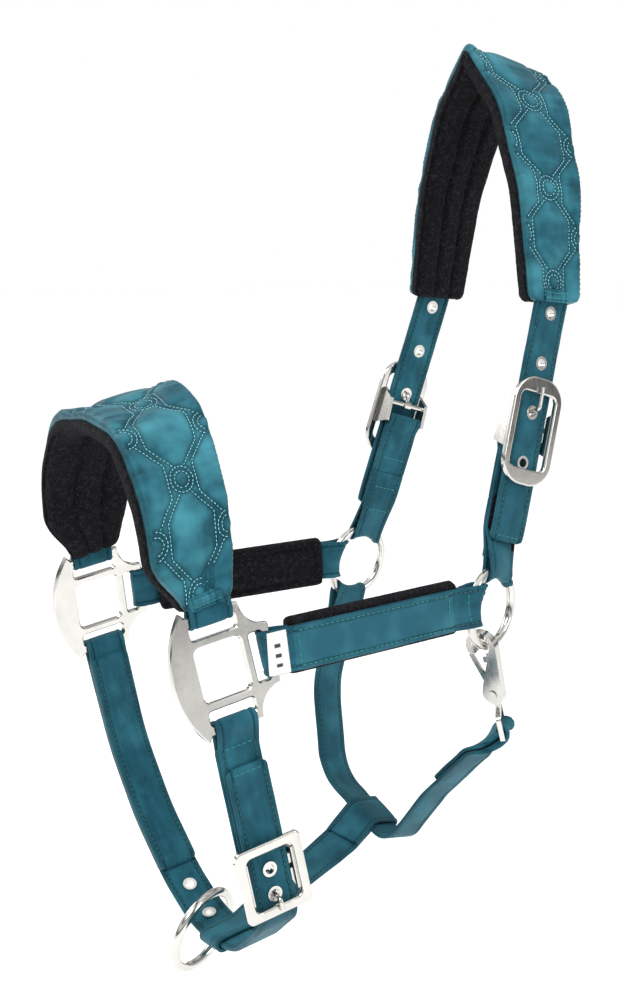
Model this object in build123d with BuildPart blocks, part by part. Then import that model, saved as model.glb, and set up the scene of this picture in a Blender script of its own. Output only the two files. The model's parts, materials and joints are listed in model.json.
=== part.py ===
"""Padded head halter, set out as it sits on a head, with its origin on the poll seat.

The frame is +Z up, +X to the near side (the horse's left) and -Y to the nose. Every
strap is a flat ribbon whose bend lies in one plane, and every strap end is folded round
a bar or a ring.
"""
from build123d import *
from math import cos, degrees, hypot, radians, sin
import os

os.makedirs("parts", exist_ok=True)

# Head layout: centre of each fitting, from the poll seat
SQUARE_AT = (85.5, -245, -328)
CHEEK_RING_AT = (75, -57, -322)
CROWN_PAD_END_AT = (58, -5, -141)
LEAD_RING_AT = (1, -217, -521)
THROAT_LOW_AT = (5, -78, -486)
FACE_LEAN = 10
SQUARE_FLARE = 8
RING_TWIST = {1: 20, -1: 12}

# Webbing and fittings
STRAP_WIDTH = 25
STRAP = 3.0
PLY = 2.0
GAP = 0.35
RING_RADIUS = 23.3
RING_WIRE = 2.7
LEAD_RING_RADIUS = 25.2
LEAD_RING_WIRE = 2.9
LEAD_RING_NORMAL = (0.88, 0.40, -0.25)
FOLD = GAP + PLY

# Cast squares
WINDOW = (28.5, 30.5)
SLOT = 8
INNER_BAR = 4.2
OUTER_BAR = 5
PLATE = 4.6
SLOT_LENGTH = 27.5
BAR_OUT = WINDOW[1] / 2 + INNER_BAR + SLOT + OUTER_BAR / 2
BACK_BAR_OUT = WINDOW[0] / 2 + INNER_BAR + SLOT + OUTER_BAR / 2

# Buckles, measured along the strap from the middle of the rim
TONGUE_BAR = 1.7
TONGUE_WIRE = 1.25
RIM = 3.4
RIM_OUT = 5.2
BILLET_OUT = 2.4
TONGUE_BAR_OUT = -3.2
STRAP_BAR_OUT = -5.2
CROWN_BUCKLE_AT = 109
CROWN_EYELETS = (182, 151, 120.5, 89.5)
CROWN_TAIL = 41
CHIN_BUCKLE_AT = 88
CHIN_TAIL = 24
EYELET_HOLE = 2.7
EYELET_FLANGE = 4.3

# Snap hook
HOOK_REACH = 33
HOOK_INNER = 6.5
HOOK_OUTER = 10.2
GATE_REACH = HOOK_REACH - 6.6
SNAP_THICK = 5
RIVET = 1.9
SHANK = 1.4
SHANK_HEAD = 2.0
EYE_DROP = 27
EYE_HEIGHT = EYE_DROP - 12
EYE_INNER = 19
EYE_WIRE = 3
EYE_TURN = 38
SLEEVE_GAP = 0.7
THROAT_RADII = (70, 38, 14, 60)

# Pads
COVER = 1.8
LINING = 3.2
FOAM = 4.6
PAD_GAP = 0.3
STRAP_SLOT = 3.6


def save(part, name):
    part.label = name
    export_step(part, f"parts/{name}.step")


def inset(points, depth):
    """Corners of an open line moved to its right by depth."""
    runs = []
    for (x0, y0), (x1, y1) in zip(points, points[1:]):
        length = hypot(x1 - x0, y1 - y0)
        runs.append(((x1 - x0) / length, (y1 - y0) / length))
    moved = []
    for i, (x, y) in enumerate(points):
        ax, ay = runs[max(i - 1, 0)]
        bx, by = runs[min(i, len(runs) - 1)]
        share = depth / (1 + ax * bx + ay * by)
        moved.append((x + share * (ay + by), y - share * (ax + bx)))
    return moved


def turn_signs(points):
    """+1 where an open line turns left at a corner and -1 where it turns right."""
    signs = []
    for (x0, y0), (x1, y1), (x2, y2) in zip(points, points[1:], points[2:]):
        cross = (x1 - x0) * (y2 - y1) - (y1 - y0) * (x2 - x1)
        signs.append(1 if cross > 0 else -1)
    return signs


def band(plane, points, radii, near, far):
    """Face between two lines that run near and far to the right of a rounded line."""
    with BuildSketch(plane) as face:
        with BuildLine():
            edges = []
            for depth in (near, far):
                rounds = [r + s * depth for r, s in zip(radii, turn_signs(points))]
                corners = inset(points, depth)
                if rounds:
                    edges.append(FilletPolyline(*corners, radius=rounds))
                else:
                    edges.append(Line(*corners))
            Line(edges[0] @ 0, edges[1] @ 0)
            Line(edges[0] @ 1, edges[1] @ 1)
        make_face()
    return face.sketch


def bar_fold(plane, across, thick):
    """Outside of a strap folded round a bar of this section."""
    with BuildSketch(plane) as face:
        RectangleRounded(across + 2 * FOLD, thick + 2 * FOLD, min(across, thick) / 2 + FOLD - 0.4)
    return face.sketch


def bar_hole(plane, across, thick):
    with BuildSketch(plane) as face:
        Rectangle(across + 2 * GAP, thick + 2 * GAP)
    return face.sketch


def slab(plane, x0, x1, y0, y1):
    """Rectangle between two x and two y values of a plane."""
    with BuildSketch(plane) as face:
        with Locations(((x0 + x1) / 2, (y0 + y1) / 2)):
            Rectangle(x1 - x0, y1 - y0)
    return face.sketch


def ring_fold(plane, radius, wire, angle, width):
    """Strap end wrapped round the wire of a ring, centred on an angle round the ring."""
    arc = degrees(width / radius)
    start = turned(plane, 0, angle - arc / 2)
    section = Plane(origin=start.origin, x_dir=start.x_dir, z_dir=-start.y_dir)
    with BuildPart() as fold:
        with BuildSketch(section):
            with Locations((radius, 0)):
                Circle(wire + GAP + PLY)
        revolve(axis=Axis(plane.origin, plane.z_dir), revolution_arc=arc)
    return fold.part


def along_plane(start, end, outward):
    """Plane of a strap's bend: x runs along the strap and y points outward."""
    run = (Vector(end) - Vector(start)).normalized()
    return Plane(origin=start, x_dir=run, z_dir=run.cross(Vector(outward)))


def turned(plane, about_y, about_z):
    """Plane turned about its own upright axis and then about its own normal."""
    return Plane(plane.location * Rotation(0, about_y, about_z))


def mirrored(point, side):
    return (side * point[0], point[1], point[2])


# Planes of the assembly
lean_sin, lean_cos = sin(radians(FACE_LEAN)), cos(radians(FACE_LEAN))
flare_sin, flare_cos = sin(radians(SQUARE_FLARE)), cos(radians(SQUARE_FLARE))
face_plane = Plane(
    origin=(0, SQUARE_AT[1], SQUARE_AT[2]), x_dir=(1, 0, 0), z_dir=(0, -lean_cos, -lean_sin)
)


def square_plane(side):
    """x to the back, y up, z along +X, turned out at the bottom."""
    back = Vector(0, lean_cos, lean_sin)
    up = Vector(-side * flare_sin, -lean_sin * flare_cos, lean_cos * flare_cos)
    return Plane(origin=mirrored(SQUARE_AT, side), x_dir=back, z_dir=back.cross(up))


def side_plane(side):
    """x to the back, y up the side of the crown, z along +X."""
    ring = Vector(mirrored(CHEEK_RING_AT, side))
    up = (Vector(mirrored(CROWN_PAD_END_AT, side)) - ring).normalized()
    back = up.cross(Vector(1, 0, 0)).normalized()
    return Plane(origin=ring, x_dir=back, z_dir=back.cross(up))


def side_profile(side):
    """x up the side of the crown and y outward."""
    flat = side_plane(side)
    return Plane(origin=flat.origin, x_dir=flat.y_dir, z_dir=flat.y_dir.cross(flat.z_dir * side))


def bar_section(side, at_y):
    """Plane across a square's top or bottom bar, x through the thickness of the plate."""
    flat = square_plane(side)
    return Plane(origin=flat.from_local_coords((0, at_y, 0)), x_dir=flat.z_dir, z_dir=flat.x_dir)


ring_planes = {side: turned(side_plane(side), RING_TWIST[side], 0) for side in (1, -1)}
lead_ring_plane = Plane(origin=LEAD_RING_AT, x_dir=(-0.384, 0.917, 0.109), z_dir=LEAD_RING_NORMAL)
side_names = {1: "left", -1: "right"}

# Arches of the two pads, as (half breadth, height) down one side of the head
CROWN_FRONT = ((0, 17), (33, -20), (53, -72), (64, -139))
CROWN_BACK = ((0, 10), (35, -22), (55, -72), (64, -142))
CROWN_FRONT_Y = (-27, -23)
CROWN_BACK_Y = (28, 14)
CROWN_RADII = (24, 34, 60)
NOSE_FRONT = ((0, -206), (50, -210), (79, -243), (82, -293))
NOSE_BACK = ((0, -186), (42, -200), (75, -243), (82, -289))
NOSE_FRONT_Y = (-280, -274)
NOSE_BACK_Y = (-222, -231)
NOSE_RADII = (60, 38, 60)


def arch_plane(arch, at_y):
    """Plane of one edge of a pad: y at the top and y at the ends."""
    top, end = arch[0][1], arch[-1][1]
    up = Vector(0, at_y[0] - at_y[1], top - end).normalized()
    return Plane(origin=(0, at_y[0], top), x_dir=(1, 0, 0), z_dir=Vector(1, 0, 0).cross(up))


def arch_band(arch, at_y, radii, near, far, beyond=0):
    """Section of one layer of a pad between two depths below its outer skin."""
    plane = arch_plane(arch, at_y)
    half = [(x, z - arch[0][1]) for x, z in arch]
    if beyond:
        (x0, z0), (x1, z1) = half[-2:]
        stretch = 1 + beyond / hypot(x1 - x0, z1 - z0)
        half[-1] = (x0 + (x1 - x0) * stretch, z0 + (z1 - z0) * stretch)
    points = [(-x, z) for x, z in reversed(half[1:])] + half
    return band(plane, points, radii[:0:-1] + radii, near, far)


def between(first, second, share):
    return tuple(tuple(a + (b - a) * share for a, b in zip(p, q)) for p, q in zip(first, second))


PADS = {
    "crown": (CROWN_FRONT, CROWN_BACK, CROWN_FRONT_Y, CROWN_BACK_Y, CROWN_RADII),
    "nose": (NOSE_FRONT, NOSE_BACK, NOSE_FRONT_Y, NOSE_BACK_Y, NOSE_RADII),
}
LAYERS = {
    "cover": (0, COVER),
    "foam": (COVER + STRAP_SLOT, COVER + STRAP_SLOT + FOAM),
    "lining": (COVER + STRAP_SLOT + FOAM + PAD_GAP, COVER + STRAP_SLOT + FOAM + PAD_GAP + LINING),
}
for pad_name, (front, back, front_y, back_y, radii) in PADS.items():
    for layer_name, (near, far) in LAYERS.items():
        with BuildPart() as layer:
            add(arch_band(front, front_y, radii, near, far))
            add(arch_band(back, back_y, radii, near, far))
            loft(ruled=True)
        save(layer.part, f"{pad_name}_pad_{layer_name}")

# Cast squares with a window, three strap slots and a wide crescent front
for side in (1, -1):
    plate_plane = square_plane(side)
    half_bar = BAR_OUT + OUTER_BAR / 2
    half_back = BACK_BAR_OUT + OUTER_BAR / 2
    with BuildPart() as square:
        with BuildSketch(plate_plane.offset(-PLATE / 2)):
            with BuildLine():
                prong = (-17, half_bar + 3)
                foot = (-17, -half_bar - 3)
                crescent = ThreePointArc(prong, (-29.5, 0), foot)
                toe = Line(foot, (-14.5, -half_bar))
                bottom = Line(toe @ 1, (17, -half_bar))
                low = RadiusArc(bottom @ 1, (half_back, -17), 15)
                rear = Line(low @ 1, (half_back, 17))
                high = RadiusArc(rear @ 1, (17, half_bar), 15)
                top = Line(high @ 1, (-14.5, half_bar))
                Line(top @ 1, prong)
            make_face()
            RectangleRounded(*WINDOW, 4, mode=Mode.SUBTRACT)
            with Locations((0, BAR_OUT - OUTER_BAR / 2 - SLOT / 2), (0, -BAR_OUT + OUTER_BAR / 2 + SLOT / 2)):
                RectangleRounded(SLOT_LENGTH, SLOT, 2, mode=Mode.SUBTRACT)
            with Locations((BACK_BAR_OUT - OUTER_BAR / 2 - SLOT / 2, 0)):
                RectangleRounded(SLOT, SLOT_LENGTH, 2, mode=Mode.SUBTRACT)
        extrude(amount=PLATE)
        chamfer(square.faces().filter_by(Axis(plate_plane.origin, plate_plane.z_dir)).edges(), 0.7)
    save(square.part, f"square_{side_names[side]}")

# Nose strap: a flat strap through the pad, folded round the top bar of each square
with BuildPart() as nose_strap:
    for share in (0.26, 0.74):
        arch = between(NOSE_FRONT, NOSE_BACK, share)
        at_y = tuple(a + (b - a) * share for a, b in zip(NOSE_FRONT_Y, NOSE_BACK_Y))
        add(arch_band(arch, at_y, NOSE_RADII, COVER + 0.8, COVER + 0.8 + PLY, beyond=4))
    loft(ruled=True)
    for side in (1, -1):
        section = bar_section(side, BAR_OUT)
        extrude(bar_fold(section, PLATE, OUTER_BAR), amount=STRAP_WIDTH / 2, both=True)
        extrude(bar_hole(section, PLATE, OUTER_BAR), amount=STRAP_WIDTH, both=True, mode=Mode.SUBTRACT)
save(nose_strap.part, "nose_strap")

# Cheek straps, each with a foam pad and a fleece lining behind it
for side in (1, -1):
    bar_at = square_plane(side).from_local_coords((BACK_BAR_OUT, 0, 0))
    ring_plane = ring_planes[side]
    ring_at = ring_plane.from_local_coords((-RING_RADIUS, 0, 0))
    run_plane = along_plane(bar_at, ring_at, (side, 0, 0))
    length = (ring_at - bar_at).length
    section = Plane(origin=bar_at, x_dir=square_plane(side).z_dir, z_dir=square_plane(side).y_dir)
    with BuildPart() as cheek_strap:
        extrude(slab(run_plane, 0, length, 0.6, 4.6), amount=STRAP_WIDTH / 2, both=True)
        extrude(bar_fold(section, PLATE, OUTER_BAR), amount=STRAP_WIDTH / 2, both=True)
        add(ring_fold(ring_plane, RING_RADIUS, RING_WIRE, 180, STRAP_WIDTH))
        extrude(bar_hole(section, PLATE, OUTER_BAR), amount=STRAP_WIDTH, both=True, mode=Mode.SUBTRACT)
        with Locations(ring_plane.location):
            Torus(RING_RADIUS, RING_WIRE + GAP, mode=Mode.SUBTRACT)
    save(cheek_strap.part, f"cheek_strap_{side_names[side]}")
    with BuildPart() as padding:
        extrude(slab(run_plane, 15, length - 13, -3.8, 0.3), amount=13, both=True)
    save(padding.part, f"cheek_padding_{side_names[side]}")
    with BuildPart() as lining:
        extrude(slab(run_plane, 13, length - 11, -7.4, -4.1), amount=15.5, both=True)
        edges = lining.edges().filter_by(Axis(run_plane.origin, run_plane.y_dir))
        fillet(edges, 5)
    save(lining.part, f"cheek_lining_{side_names[side]}")
    if side == 1:
        with BuildPart() as size_label:
            extrude(slab(run_plane, 5.2, 14, 4.7, 5.3), amount=11.5, both=True)
        save(size_label.part, "size_label")

# Cheek rings and the lead ring
for name, plane, radius, wire in (
    ("cheek_ring_left", ring_planes[1], RING_RADIUS, RING_WIRE),
    ("cheek_ring_right", ring_planes[-1], RING_RADIUS, RING_WIRE),
    ("lead_ring", lead_ring_plane, LEAD_RING_RADIUS, LEAD_RING_WIRE),
):
    with BuildPart() as ring:
        with Locations(plane.location):
            Torus(radius, wire)
    save(ring.part, name)


def buckle_parts(name, profile, centre, rim, opening, rounding, bars, tongue, cheek_half):
    """Frame with its two inner bars, and the tongue that turns on the first of them.

    The profile plane has x towards the resting side of the tongue and y outward.
    """
    tongue_bar, strap_bar = bars
    face = Plane(
        origin=profile.from_local_coords((centre, RIM_OUT, 0)), x_dir=profile.z_dir * -1, z_dir=profile.y_dir
    )
    with BuildPart() as ring_frame:
        with BuildSketch(face):
            RectangleRounded(*rim, rounding)
            RectangleRounded(*opening, 4, mode=Mode.SUBTRACT)
        extrude(amount=RIM)
        fillet(ring_frame.faces().filter_by(Axis(face.origin, face.z_dir)).edges(), 1.1)
    with BuildPart() as frame:
        with BuildSketch(Plane(origin=profile.origin, x_dir=profile.x_dir, z_dir=profile.z_dir)):
            with BuildLine():
                Polyline(
                    (centre - cheek_half, RIM_OUT + 1.2),
                    (centre + tongue_bar - 6 - cheek_half / 2, -8),
                    (centre + tongue_bar + 3, -6),
                    (centre + cheek_half, RIM_OUT + 1.2),
                    close=True,
                )
            make_face()
        extrude(amount=15.8, both=True)
        with BuildSketch(profile):
            with Locations((centre, -1)):
                Rectangle(6 * cheek_half, 18 + 2 * 1.2)
        extrude(amount=13.4, both=True, mode=Mode.SUBTRACT)
        add(ring_frame.part)
        with BuildSketch(profile):
            with Locations((centre + tongue_bar, TONGUE_BAR_OUT), (centre + strap_bar, STRAP_BAR_OUT)):
                Circle(TONGUE_BAR)
        extrude(amount=14.5, both=True)
    save(frame.part, f"{name}_frame")
    root, hole, tip = tongue
    rest = RIM_OUT + RIM + TONGUE_WIRE + 0.1
    with BuildPart() as prong:
        with BuildSketch(profile):
            with Locations((centre + tongue_bar, TONGUE_BAR_OUT)):
                Circle(TONGUE_BAR + 1.45)
                Circle(TONGUE_BAR + 0.15, mode=Mode.SUBTRACT)
        extrude(amount=2.4, both=True)
        with BuildLine(profile) as route:
            FilletPolyline(
                (centre + root, TONGUE_BAR_OUT),
                (centre + hole - 0.6, TONGUE_BAR_OUT + 0.5),
                (centre + hole + 1.6, rest + 0.2),
                (centre + tip, rest),
                radius=2.4,
            )
        with BuildSketch(Plane(origin=route.line @ 0, z_dir=route.line % 0)):
            Circle(TONGUE_WIRE)
        sweep()
    save(prong.part, f"{name}_tongue")


def eyelet(plane, lift=0.05):
    """Turned-over nickel ring through a strap; the plane lies in the middle of the strap."""
    half = STRAP / 2 + lift
    with BuildPart() as ring:
        with BuildSketch(plane.offset(-half - 0.5)):
            Circle(EYELET_HOLE + 0.5)
            Circle(EYELET_HOLE, mode=Mode.SUBTRACT)
        extrude(amount=2 * half + 1)
        for level in (-half - 0.5, half):
            with BuildSketch(plane.offset(level)):
                Circle(EYELET_FLANGE)
                Circle(EYELET_HOLE, mode=Mode.SUBTRACT)
            extrude(amount=0.5)
    return ring.part


def eyelet_plane(profile, at):
    """Plane across an eyelet, at a distance along a strap that lies at BILLET_OUT."""
    middle = profile.from_local_coords((at, BILLET_OUT, 0))
    return Plane(origin=middle, x_dir=profile.x_dir, z_dir=profile.y_dir)


# Crown strap with a billet at each end, and the two buckle straps that it fastens to
with BuildPart() as crown_strap:
    for share in (0.28, 0.72):
        arch = between(CROWN_FRONT, CROWN_BACK, share)
        at_y = tuple(a + (b - a) * share for a, b in zip(CROWN_FRONT_Y, CROWN_BACK_Y))
        add(arch_band(arch, at_y, CROWN_RADII, COVER + 0.8, COVER + 0.8 + PLY, beyond=9))
    loft(ruled=True)
    for side in (1, -1):
        profile = side_profile(side)
        billet = slab(profile, CROWN_TAIL, 188, BILLET_OUT - STRAP / 2, BILLET_OUT + STRAP / 2)
        extrude(billet, amount=STRAP_WIDTH / 2, both=True)
        for at in CROWN_EYELETS:
            with BuildSketch(eyelet_plane(profile, at)):
                Circle(EYELET_HOLE + 0.7)
            extrude(amount=STRAP, both=True, mode=Mode.SUBTRACT)
save(crown_strap.part, "crown_strap")

CROWN_BARS = (4, -7)
for side in (1, -1):
    profile = side_profile(side)
    ring_plane = ring_planes[side]
    strap_bar_at = CROWN_BUCKLE_AT + CROWN_BARS[1]
    middle = ((RING_RADIUS, 0), (46, STRAP_BAR_OUT), (strap_bar_at, STRAP_BAR_OUT))
    with BuildPart() as buckle_strap:
        extrude(band(profile, middle, (30,), -1.9, 1.9), amount=STRAP_WIDTH / 2, both=True)
        add(ring_fold(ring_plane, RING_RADIUS, RING_WIRE, 90, STRAP_WIDTH))
        for radius, mode in ((TONGUE_BAR + FOLD, Mode.ADD), (TONGUE_BAR + GAP, Mode.SUBTRACT)):
            with BuildSketch(profile):
                with Locations((strap_bar_at, STRAP_BAR_OUT)):
                    Circle(radius)
            extrude(amount=STRAP_WIDTH / 2, both=True, mode=mode)
        with Locations(ring_plane.location):
            Torus(RING_RADIUS, RING_WIRE + GAP, mode=Mode.SUBTRACT)
    save(buckle_strap.part, f"crown_buckle_strap_{side_names[side]}")
    buckle_parts(
        f"crown_buckle_{side_names[side]}", profile, CROWN_BUCKLE_AT,
        (38, 66), (27.4, 46), 16, CROWN_BARS, (6.6, 12, 27), 13,
    )
    with BuildPart() as eyelets:
        for at in CROWN_EYELETS:
            add(eyelet(eyelet_plane(profile, at)))
    save(eyelets.part, f"crown_eyelets_{side_names[side]}")

# Chin: the strap runs from the right square through the lead ring, up through its buckle
leg_top = square_plane(1).from_local_coords((0, -BAR_OUT, 0))
leg_low = face_plane.from_local_coords((98, -120, 0))
leg = along_plane(leg_top, leg_low, (1, 0, 0))


def on_leg(at, out):
    point = face_plane.to_local_coords(leg.from_local_coords((at, out, 0)))
    return (point.X, point.Y)


right_bar = face_plane.to_local_coords(square_plane(-1).from_local_coords((0, -BAR_OUT, 0)))
chin_route = [
    on_leg(CHIN_TAIL, BILLET_OUT),
    on_leg(115, BILLET_OUT),
    (58, -181),
    (2, -191),
    (-32, -172),
    (-62, -140),
    (-84, -95),
    (right_bar.X, right_bar.Y),
]
CHIN_RADII = (17, 60, 60, 60, 80, 90)
CHIN_LEG_EYELETS = (84, 98.5)
CHIN_LOW_EYELETS = (0.575, 0.51)
CHIN_BARS = (2.5, -8.5)
PAD_SHARES = (0.1, 0.9)
PAD_HALF = 13


with BuildLine(face_plane) as chin_path:
    FilletPolyline(*chin_route, radius=list(CHIN_RADII))


def chin_low_plane(share):
    """Plane across an eyelet under the chin, at a share of the strap's length."""
    run = chin_path.line % share
    return Plane(origin=chin_path.line @ share, x_dir=face_plane.z_dir, z_dir=run.cross(face_plane.z_dir))


chin_eyelet_planes = [eyelet_plane(leg, at) for at in CHIN_LEG_EYELETS]
chin_eyelet_planes += [chin_low_plane(share) for share in CHIN_LOW_EYELETS]
with BuildPart() as chin_strap:
    flat_strap = band(face_plane, chin_route, CHIN_RADII, -STRAP / 2, STRAP / 2)
    extrude(flat_strap, amount=STRAP_WIDTH / 2, both=True)
    section = bar_section(-1, -BAR_OUT)
    extrude(bar_fold(section, PLATE, OUTER_BAR), amount=STRAP_WIDTH / 2, both=True)
    extrude(bar_hole(section, PLATE, OUTER_BAR), amount=STRAP_WIDTH, both=True, mode=Mode.SUBTRACT)
    for plane in chin_eyelet_planes:
        with BuildSketch(plane):
            Circle(EYELET_HOLE + 0.7)
        extrude(amount=STRAP, both=True, mode=Mode.SUBTRACT)
save(chin_strap.part, "chin_strap")

with BuildPart() as chin_eyelets:
    for at in CHIN_LEG_EYELETS:
        add(eyelet(eyelet_plane(leg, at)))
    for share in CHIN_LOW_EYELETS:
        add(eyelet(chin_low_plane(share), 0.35))
save(chin_eyelets.part, "chin_eyelets")

pad_start = tuple(a + (b - a) * PAD_SHARES[0] for a, b in zip(chin_route[4], chin_route[5]))
pad_end = tuple(a + (b - a) * PAD_SHARES[1] for a, b in zip(chin_route[6], chin_route[7]))
with BuildPart() as chin_pad:
    route = [pad_start, chin_route[5], chin_route[6], pad_end]
    padded = band(face_plane, route, CHIN_RADII[4:], STRAP / 2 + 0.2, STRAP / 2 + 5.2)
    extrude(padded, amount=PAD_HALF, both=True)
save(chin_pad.part, "chin_pad")

strap_bar_at = CHIN_BUCKLE_AT + CHIN_BARS[1]
with BuildPart() as chin_buckle_strap:
    middle = ((0, 0), (22, STRAP_BAR_OUT), (strap_bar_at, STRAP_BAR_OUT))
    extrude(band(leg, middle, (30,), -1.9, 1.9), amount=STRAP_WIDTH / 2, both=True)
    section = bar_section(1, -BAR_OUT)
    extrude(bar_fold(section, PLATE, OUTER_BAR), amount=STRAP_WIDTH / 2, both=True)
    extrude(bar_hole(section, PLATE, OUTER_BAR), amount=STRAP_WIDTH, both=True, mode=Mode.SUBTRACT)
    for radius, mode in ((TONGUE_BAR + FOLD, Mode.ADD), (TONGUE_BAR + GAP, Mode.SUBTRACT)):
        with BuildSketch(leg):
            with Locations((strap_bar_at, STRAP_BAR_OUT)):
                Circle(radius)
        extrude(amount=STRAP_WIDTH / 2, both=True, mode=mode)
save(chin_buckle_strap.part, "chin_buckle_strap")
buckle_parts("chin_buckle", leg, CHIN_BUCKLE_AT, (40, 42), (29.5, 31), 3, CHIN_BARS, (5.1, 10.5, 18.5), 12)

# Snap hook on the left cheek ring, with its gate, rivet, spring and swivel eye
ring_low = ring_planes[1].from_local_coords((0, -RING_RADIUS, 0))
snap_up = Vector(0.03, -0.30, 0.953).normalized()
snap_face = snap_up.cross(Vector(0.933, 0.351, 0.081)).normalized() * -1
snap_plane = Plane(
    origin=ring_low - snap_up * HOOK_REACH, x_dir=snap_up.cross(snap_face), z_dir=snap_face
)
swivel_plane = Plane(origin=snap_plane.origin, x_dir=snap_plane.x_dir, z_dir=snap_plane.y_dir * -1)
with BuildPart() as snap_body:
    with BuildSketch(snap_plane.offset(-SNAP_THICK / 2)):
        with Locations((-1, HOOK_REACH)):
            Circle(HOOK_OUTER)
            Circle(HOOK_INNER, mode=Mode.SUBTRACT)
        with Locations((-7, 20.25)):
            Rectangle(12, 16.5, mode=Mode.SUBTRACT)
        Polygon((9.3, 34), (5.0, 33), (-6.2, 4), (-6.8, -1), (6.8, -1), align=None)
        Circle(7)
    extrude(amount=SNAP_THICK)
    with BuildSketch(snap_plane.offset(-1.7)):
        with BuildLine():
            Polyline((-8, -3.9), (4, -3.9), (4, 27), (-8, 27), close=True)
        make_face()
    extrude(amount=3.4, mode=Mode.SUBTRACT)
    with BuildSketch(snap_plane):
        Circle(RIVET + 0.1)
    extrude(amount=SNAP_THICK, both=True, mode=Mode.SUBTRACT)
    for radius, depth in ((SHANK + 0.2, 6), (SHANK_HEAD + 0.2, 1.5)):
        with BuildSketch(swivel_plane.offset(3.6)):
            Circle(radius)
        extrude(amount=depth, mode=Mode.SUBTRACT)
save(snap_body.part, "snap_body")

with BuildPart() as snap_rivet:
    with BuildSketch(snap_plane):
        Circle(RIVET)
    extrude(amount=SNAP_THICK / 2 + 0.2, both=True)
    for face in (snap_plane.offset(SNAP_THICK / 2 + 0.1), snap_plane.offset(-SNAP_THICK / 2 - 0.8)):
        with BuildSketch(face):
            Circle(RIVET + 0.9)
        extrude(amount=0.7)
save(snap_rivet.part, "snap_rivet")

with BuildPart() as snap_gate:
    with BuildSketch(snap_plane.offset(-0.3)):
        with BuildLine():
            Polyline((-1.6, -0.5), (1.8, 1), (-8.4, GATE_REACH), (-11.4, GATE_REACH), close=True)
        make_face()
        Circle(3.4)
        Circle(RIVET + 0.2, mode=Mode.SUBTRACT)
    extrude(amount=1.5)
save(snap_gate.part, "snap_gate")

with BuildPart() as snap_spring:
    with BuildSketch(snap_plane.offset(-1.5)):
        Circle(3.6)
        Circle(RIVET + 0.3, mode=Mode.SUBTRACT)
    extrude(amount=1.0)
save(snap_spring.part, "snap_spring")

throat_low = Vector(THROAT_LOW_AT)
ring_far = ring_planes[-1].from_local_coords((0, -RING_RADIUS, 0))
eye_at = snap_plane.from_local_coords((0, -EYE_DROP, 0))
throat_normal = (eye_at - throat_low).cross(ring_far - throat_low).normalized()
throat_plane = Plane(origin=throat_low, x_dir=Vector(0, 0, 1).cross(throat_normal), z_dir=throat_normal)

# The eye is a flat loop whose lower bar lies across the throat strap
eye_face = snap_up.cross(throat_normal.rotate(Axis((0, 0, 0), snap_up), EYE_TURN)).normalized()
eye_plane = Plane(origin=eye_at, x_dir=eye_face.cross(snap_up) * -1, z_dir=eye_face)


def eye_loop(gap):
    """Flat loop of the eye, or its envelope with a gap all round."""
    with BuildSketch(eye_plane) as face:
        with Locations((0, EYE_HEIGHT / 2)):
            RectangleRounded(EYE_INNER + 2 * EYE_WIRE + 2 * gap, EYE_HEIGHT + EYE_WIRE + 2 * gap, 3.2)
        with Locations((0, EYE_HEIGHT / 2)):
            RectangleRounded(EYE_INNER - 2 * gap, EYE_HEIGHT - EYE_WIRE - 2 * gap, 1, mode=Mode.SUBTRACT)
    return face.sketch


with BuildPart() as snap_eye:
    extrude(eye_loop(0), amount=EYE_WIRE / 2, both=True)
    for radius, length in ((SHANK, 8), (SHANK_HEAD, 0.9)):
        with BuildSketch(swivel_plane.offset(4)):
            Circle(radius)
        extrude(amount=length)
save(snap_eye.part, "snap_eye")

# Throat strap: from the right cheek ring, under the throat, to the eye of the snap
far_point = throat_plane.to_local_coords(ring_far)
eye_point = throat_plane.to_local_coords(eye_at)
throat_route = [
    (far_point.X, far_point.Y),
    (-84, 82),
    (-63, 22),
    (4, -7),
    (30, 34),
    (eye_point.X, eye_point.Y),
]
eye_run = Vector(eye_point.X - 30, eye_point.Y - 34).normalized()
gather = (eye_point.X - 22 * eye_run.X, eye_point.Y - 22 * eye_run.Y)
with BuildPart() as throat_strap:
    wide = throat_route[:-1] + [gather]
    flat_strap = band(throat_plane, wide, THROAT_RADII, -STRAP / 2, STRAP / 2)
    extrude(flat_strap, amount=STRAP_WIDTH / 2, both=True)
    folded_back = [(30 + 14 * eye_run.X, 34 + 14 * eye_run.Y), gather]
    doubled = band(throat_plane, folded_back, (), STRAP / 2, STRAP / 2 + 3.2)
    extrude(doubled, amount=STRAP_WIDTH / 2, both=True)
    gather_at = throat_plane.from_local_coords((*gather, 0)) - throat_plane.from_local_coords(
        (1.6 * eye_run.Y, -1.6 * eye_run.X, 0)
    ) + throat_plane.origin
    with BuildSketch(Plane(origin=gather_at, x_dir=throat_normal, z_dir=eye_at - gather_at)):
        Rectangle(STRAP_WIDTH, STRAP + 3.2)
    with BuildSketch(Plane(origin=eye_at, x_dir=eye_plane.x_dir, z_dir=eye_at - gather_at)):
        Rectangle(EYE_INNER - 1.4, STRAP + 1.6)
    loft(ruled=True)
    bar_plane = Plane(origin=eye_at, x_dir=eye_plane.z_dir, z_dir=eye_plane.x_dir)
    for radius, mode in ((EYE_WIRE / 2 + GAP + FOLD, Mode.ADD), (EYE_WIRE / 2 + GAP + 0.5, Mode.SUBTRACT)):
        with BuildSketch(bar_plane):
            Circle(radius)
        extrude(amount=EYE_INNER / 2 - 0.7, both=True, mode=mode)
    extrude(eye_loop(GAP), amount=EYE_WIRE / 2 + GAP, both=True, mode=Mode.SUBTRACT)
    add(ring_fold(ring_planes[-1], RING_RADIUS, RING_WIRE, 270, STRAP_WIDTH))
    with Locations(ring_planes[-1].location):
        Torus(RING_RADIUS, RING_WIRE + GAP, mode=Mode.SUBTRACT)
save(throat_strap.part, "throat_strap")


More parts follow.
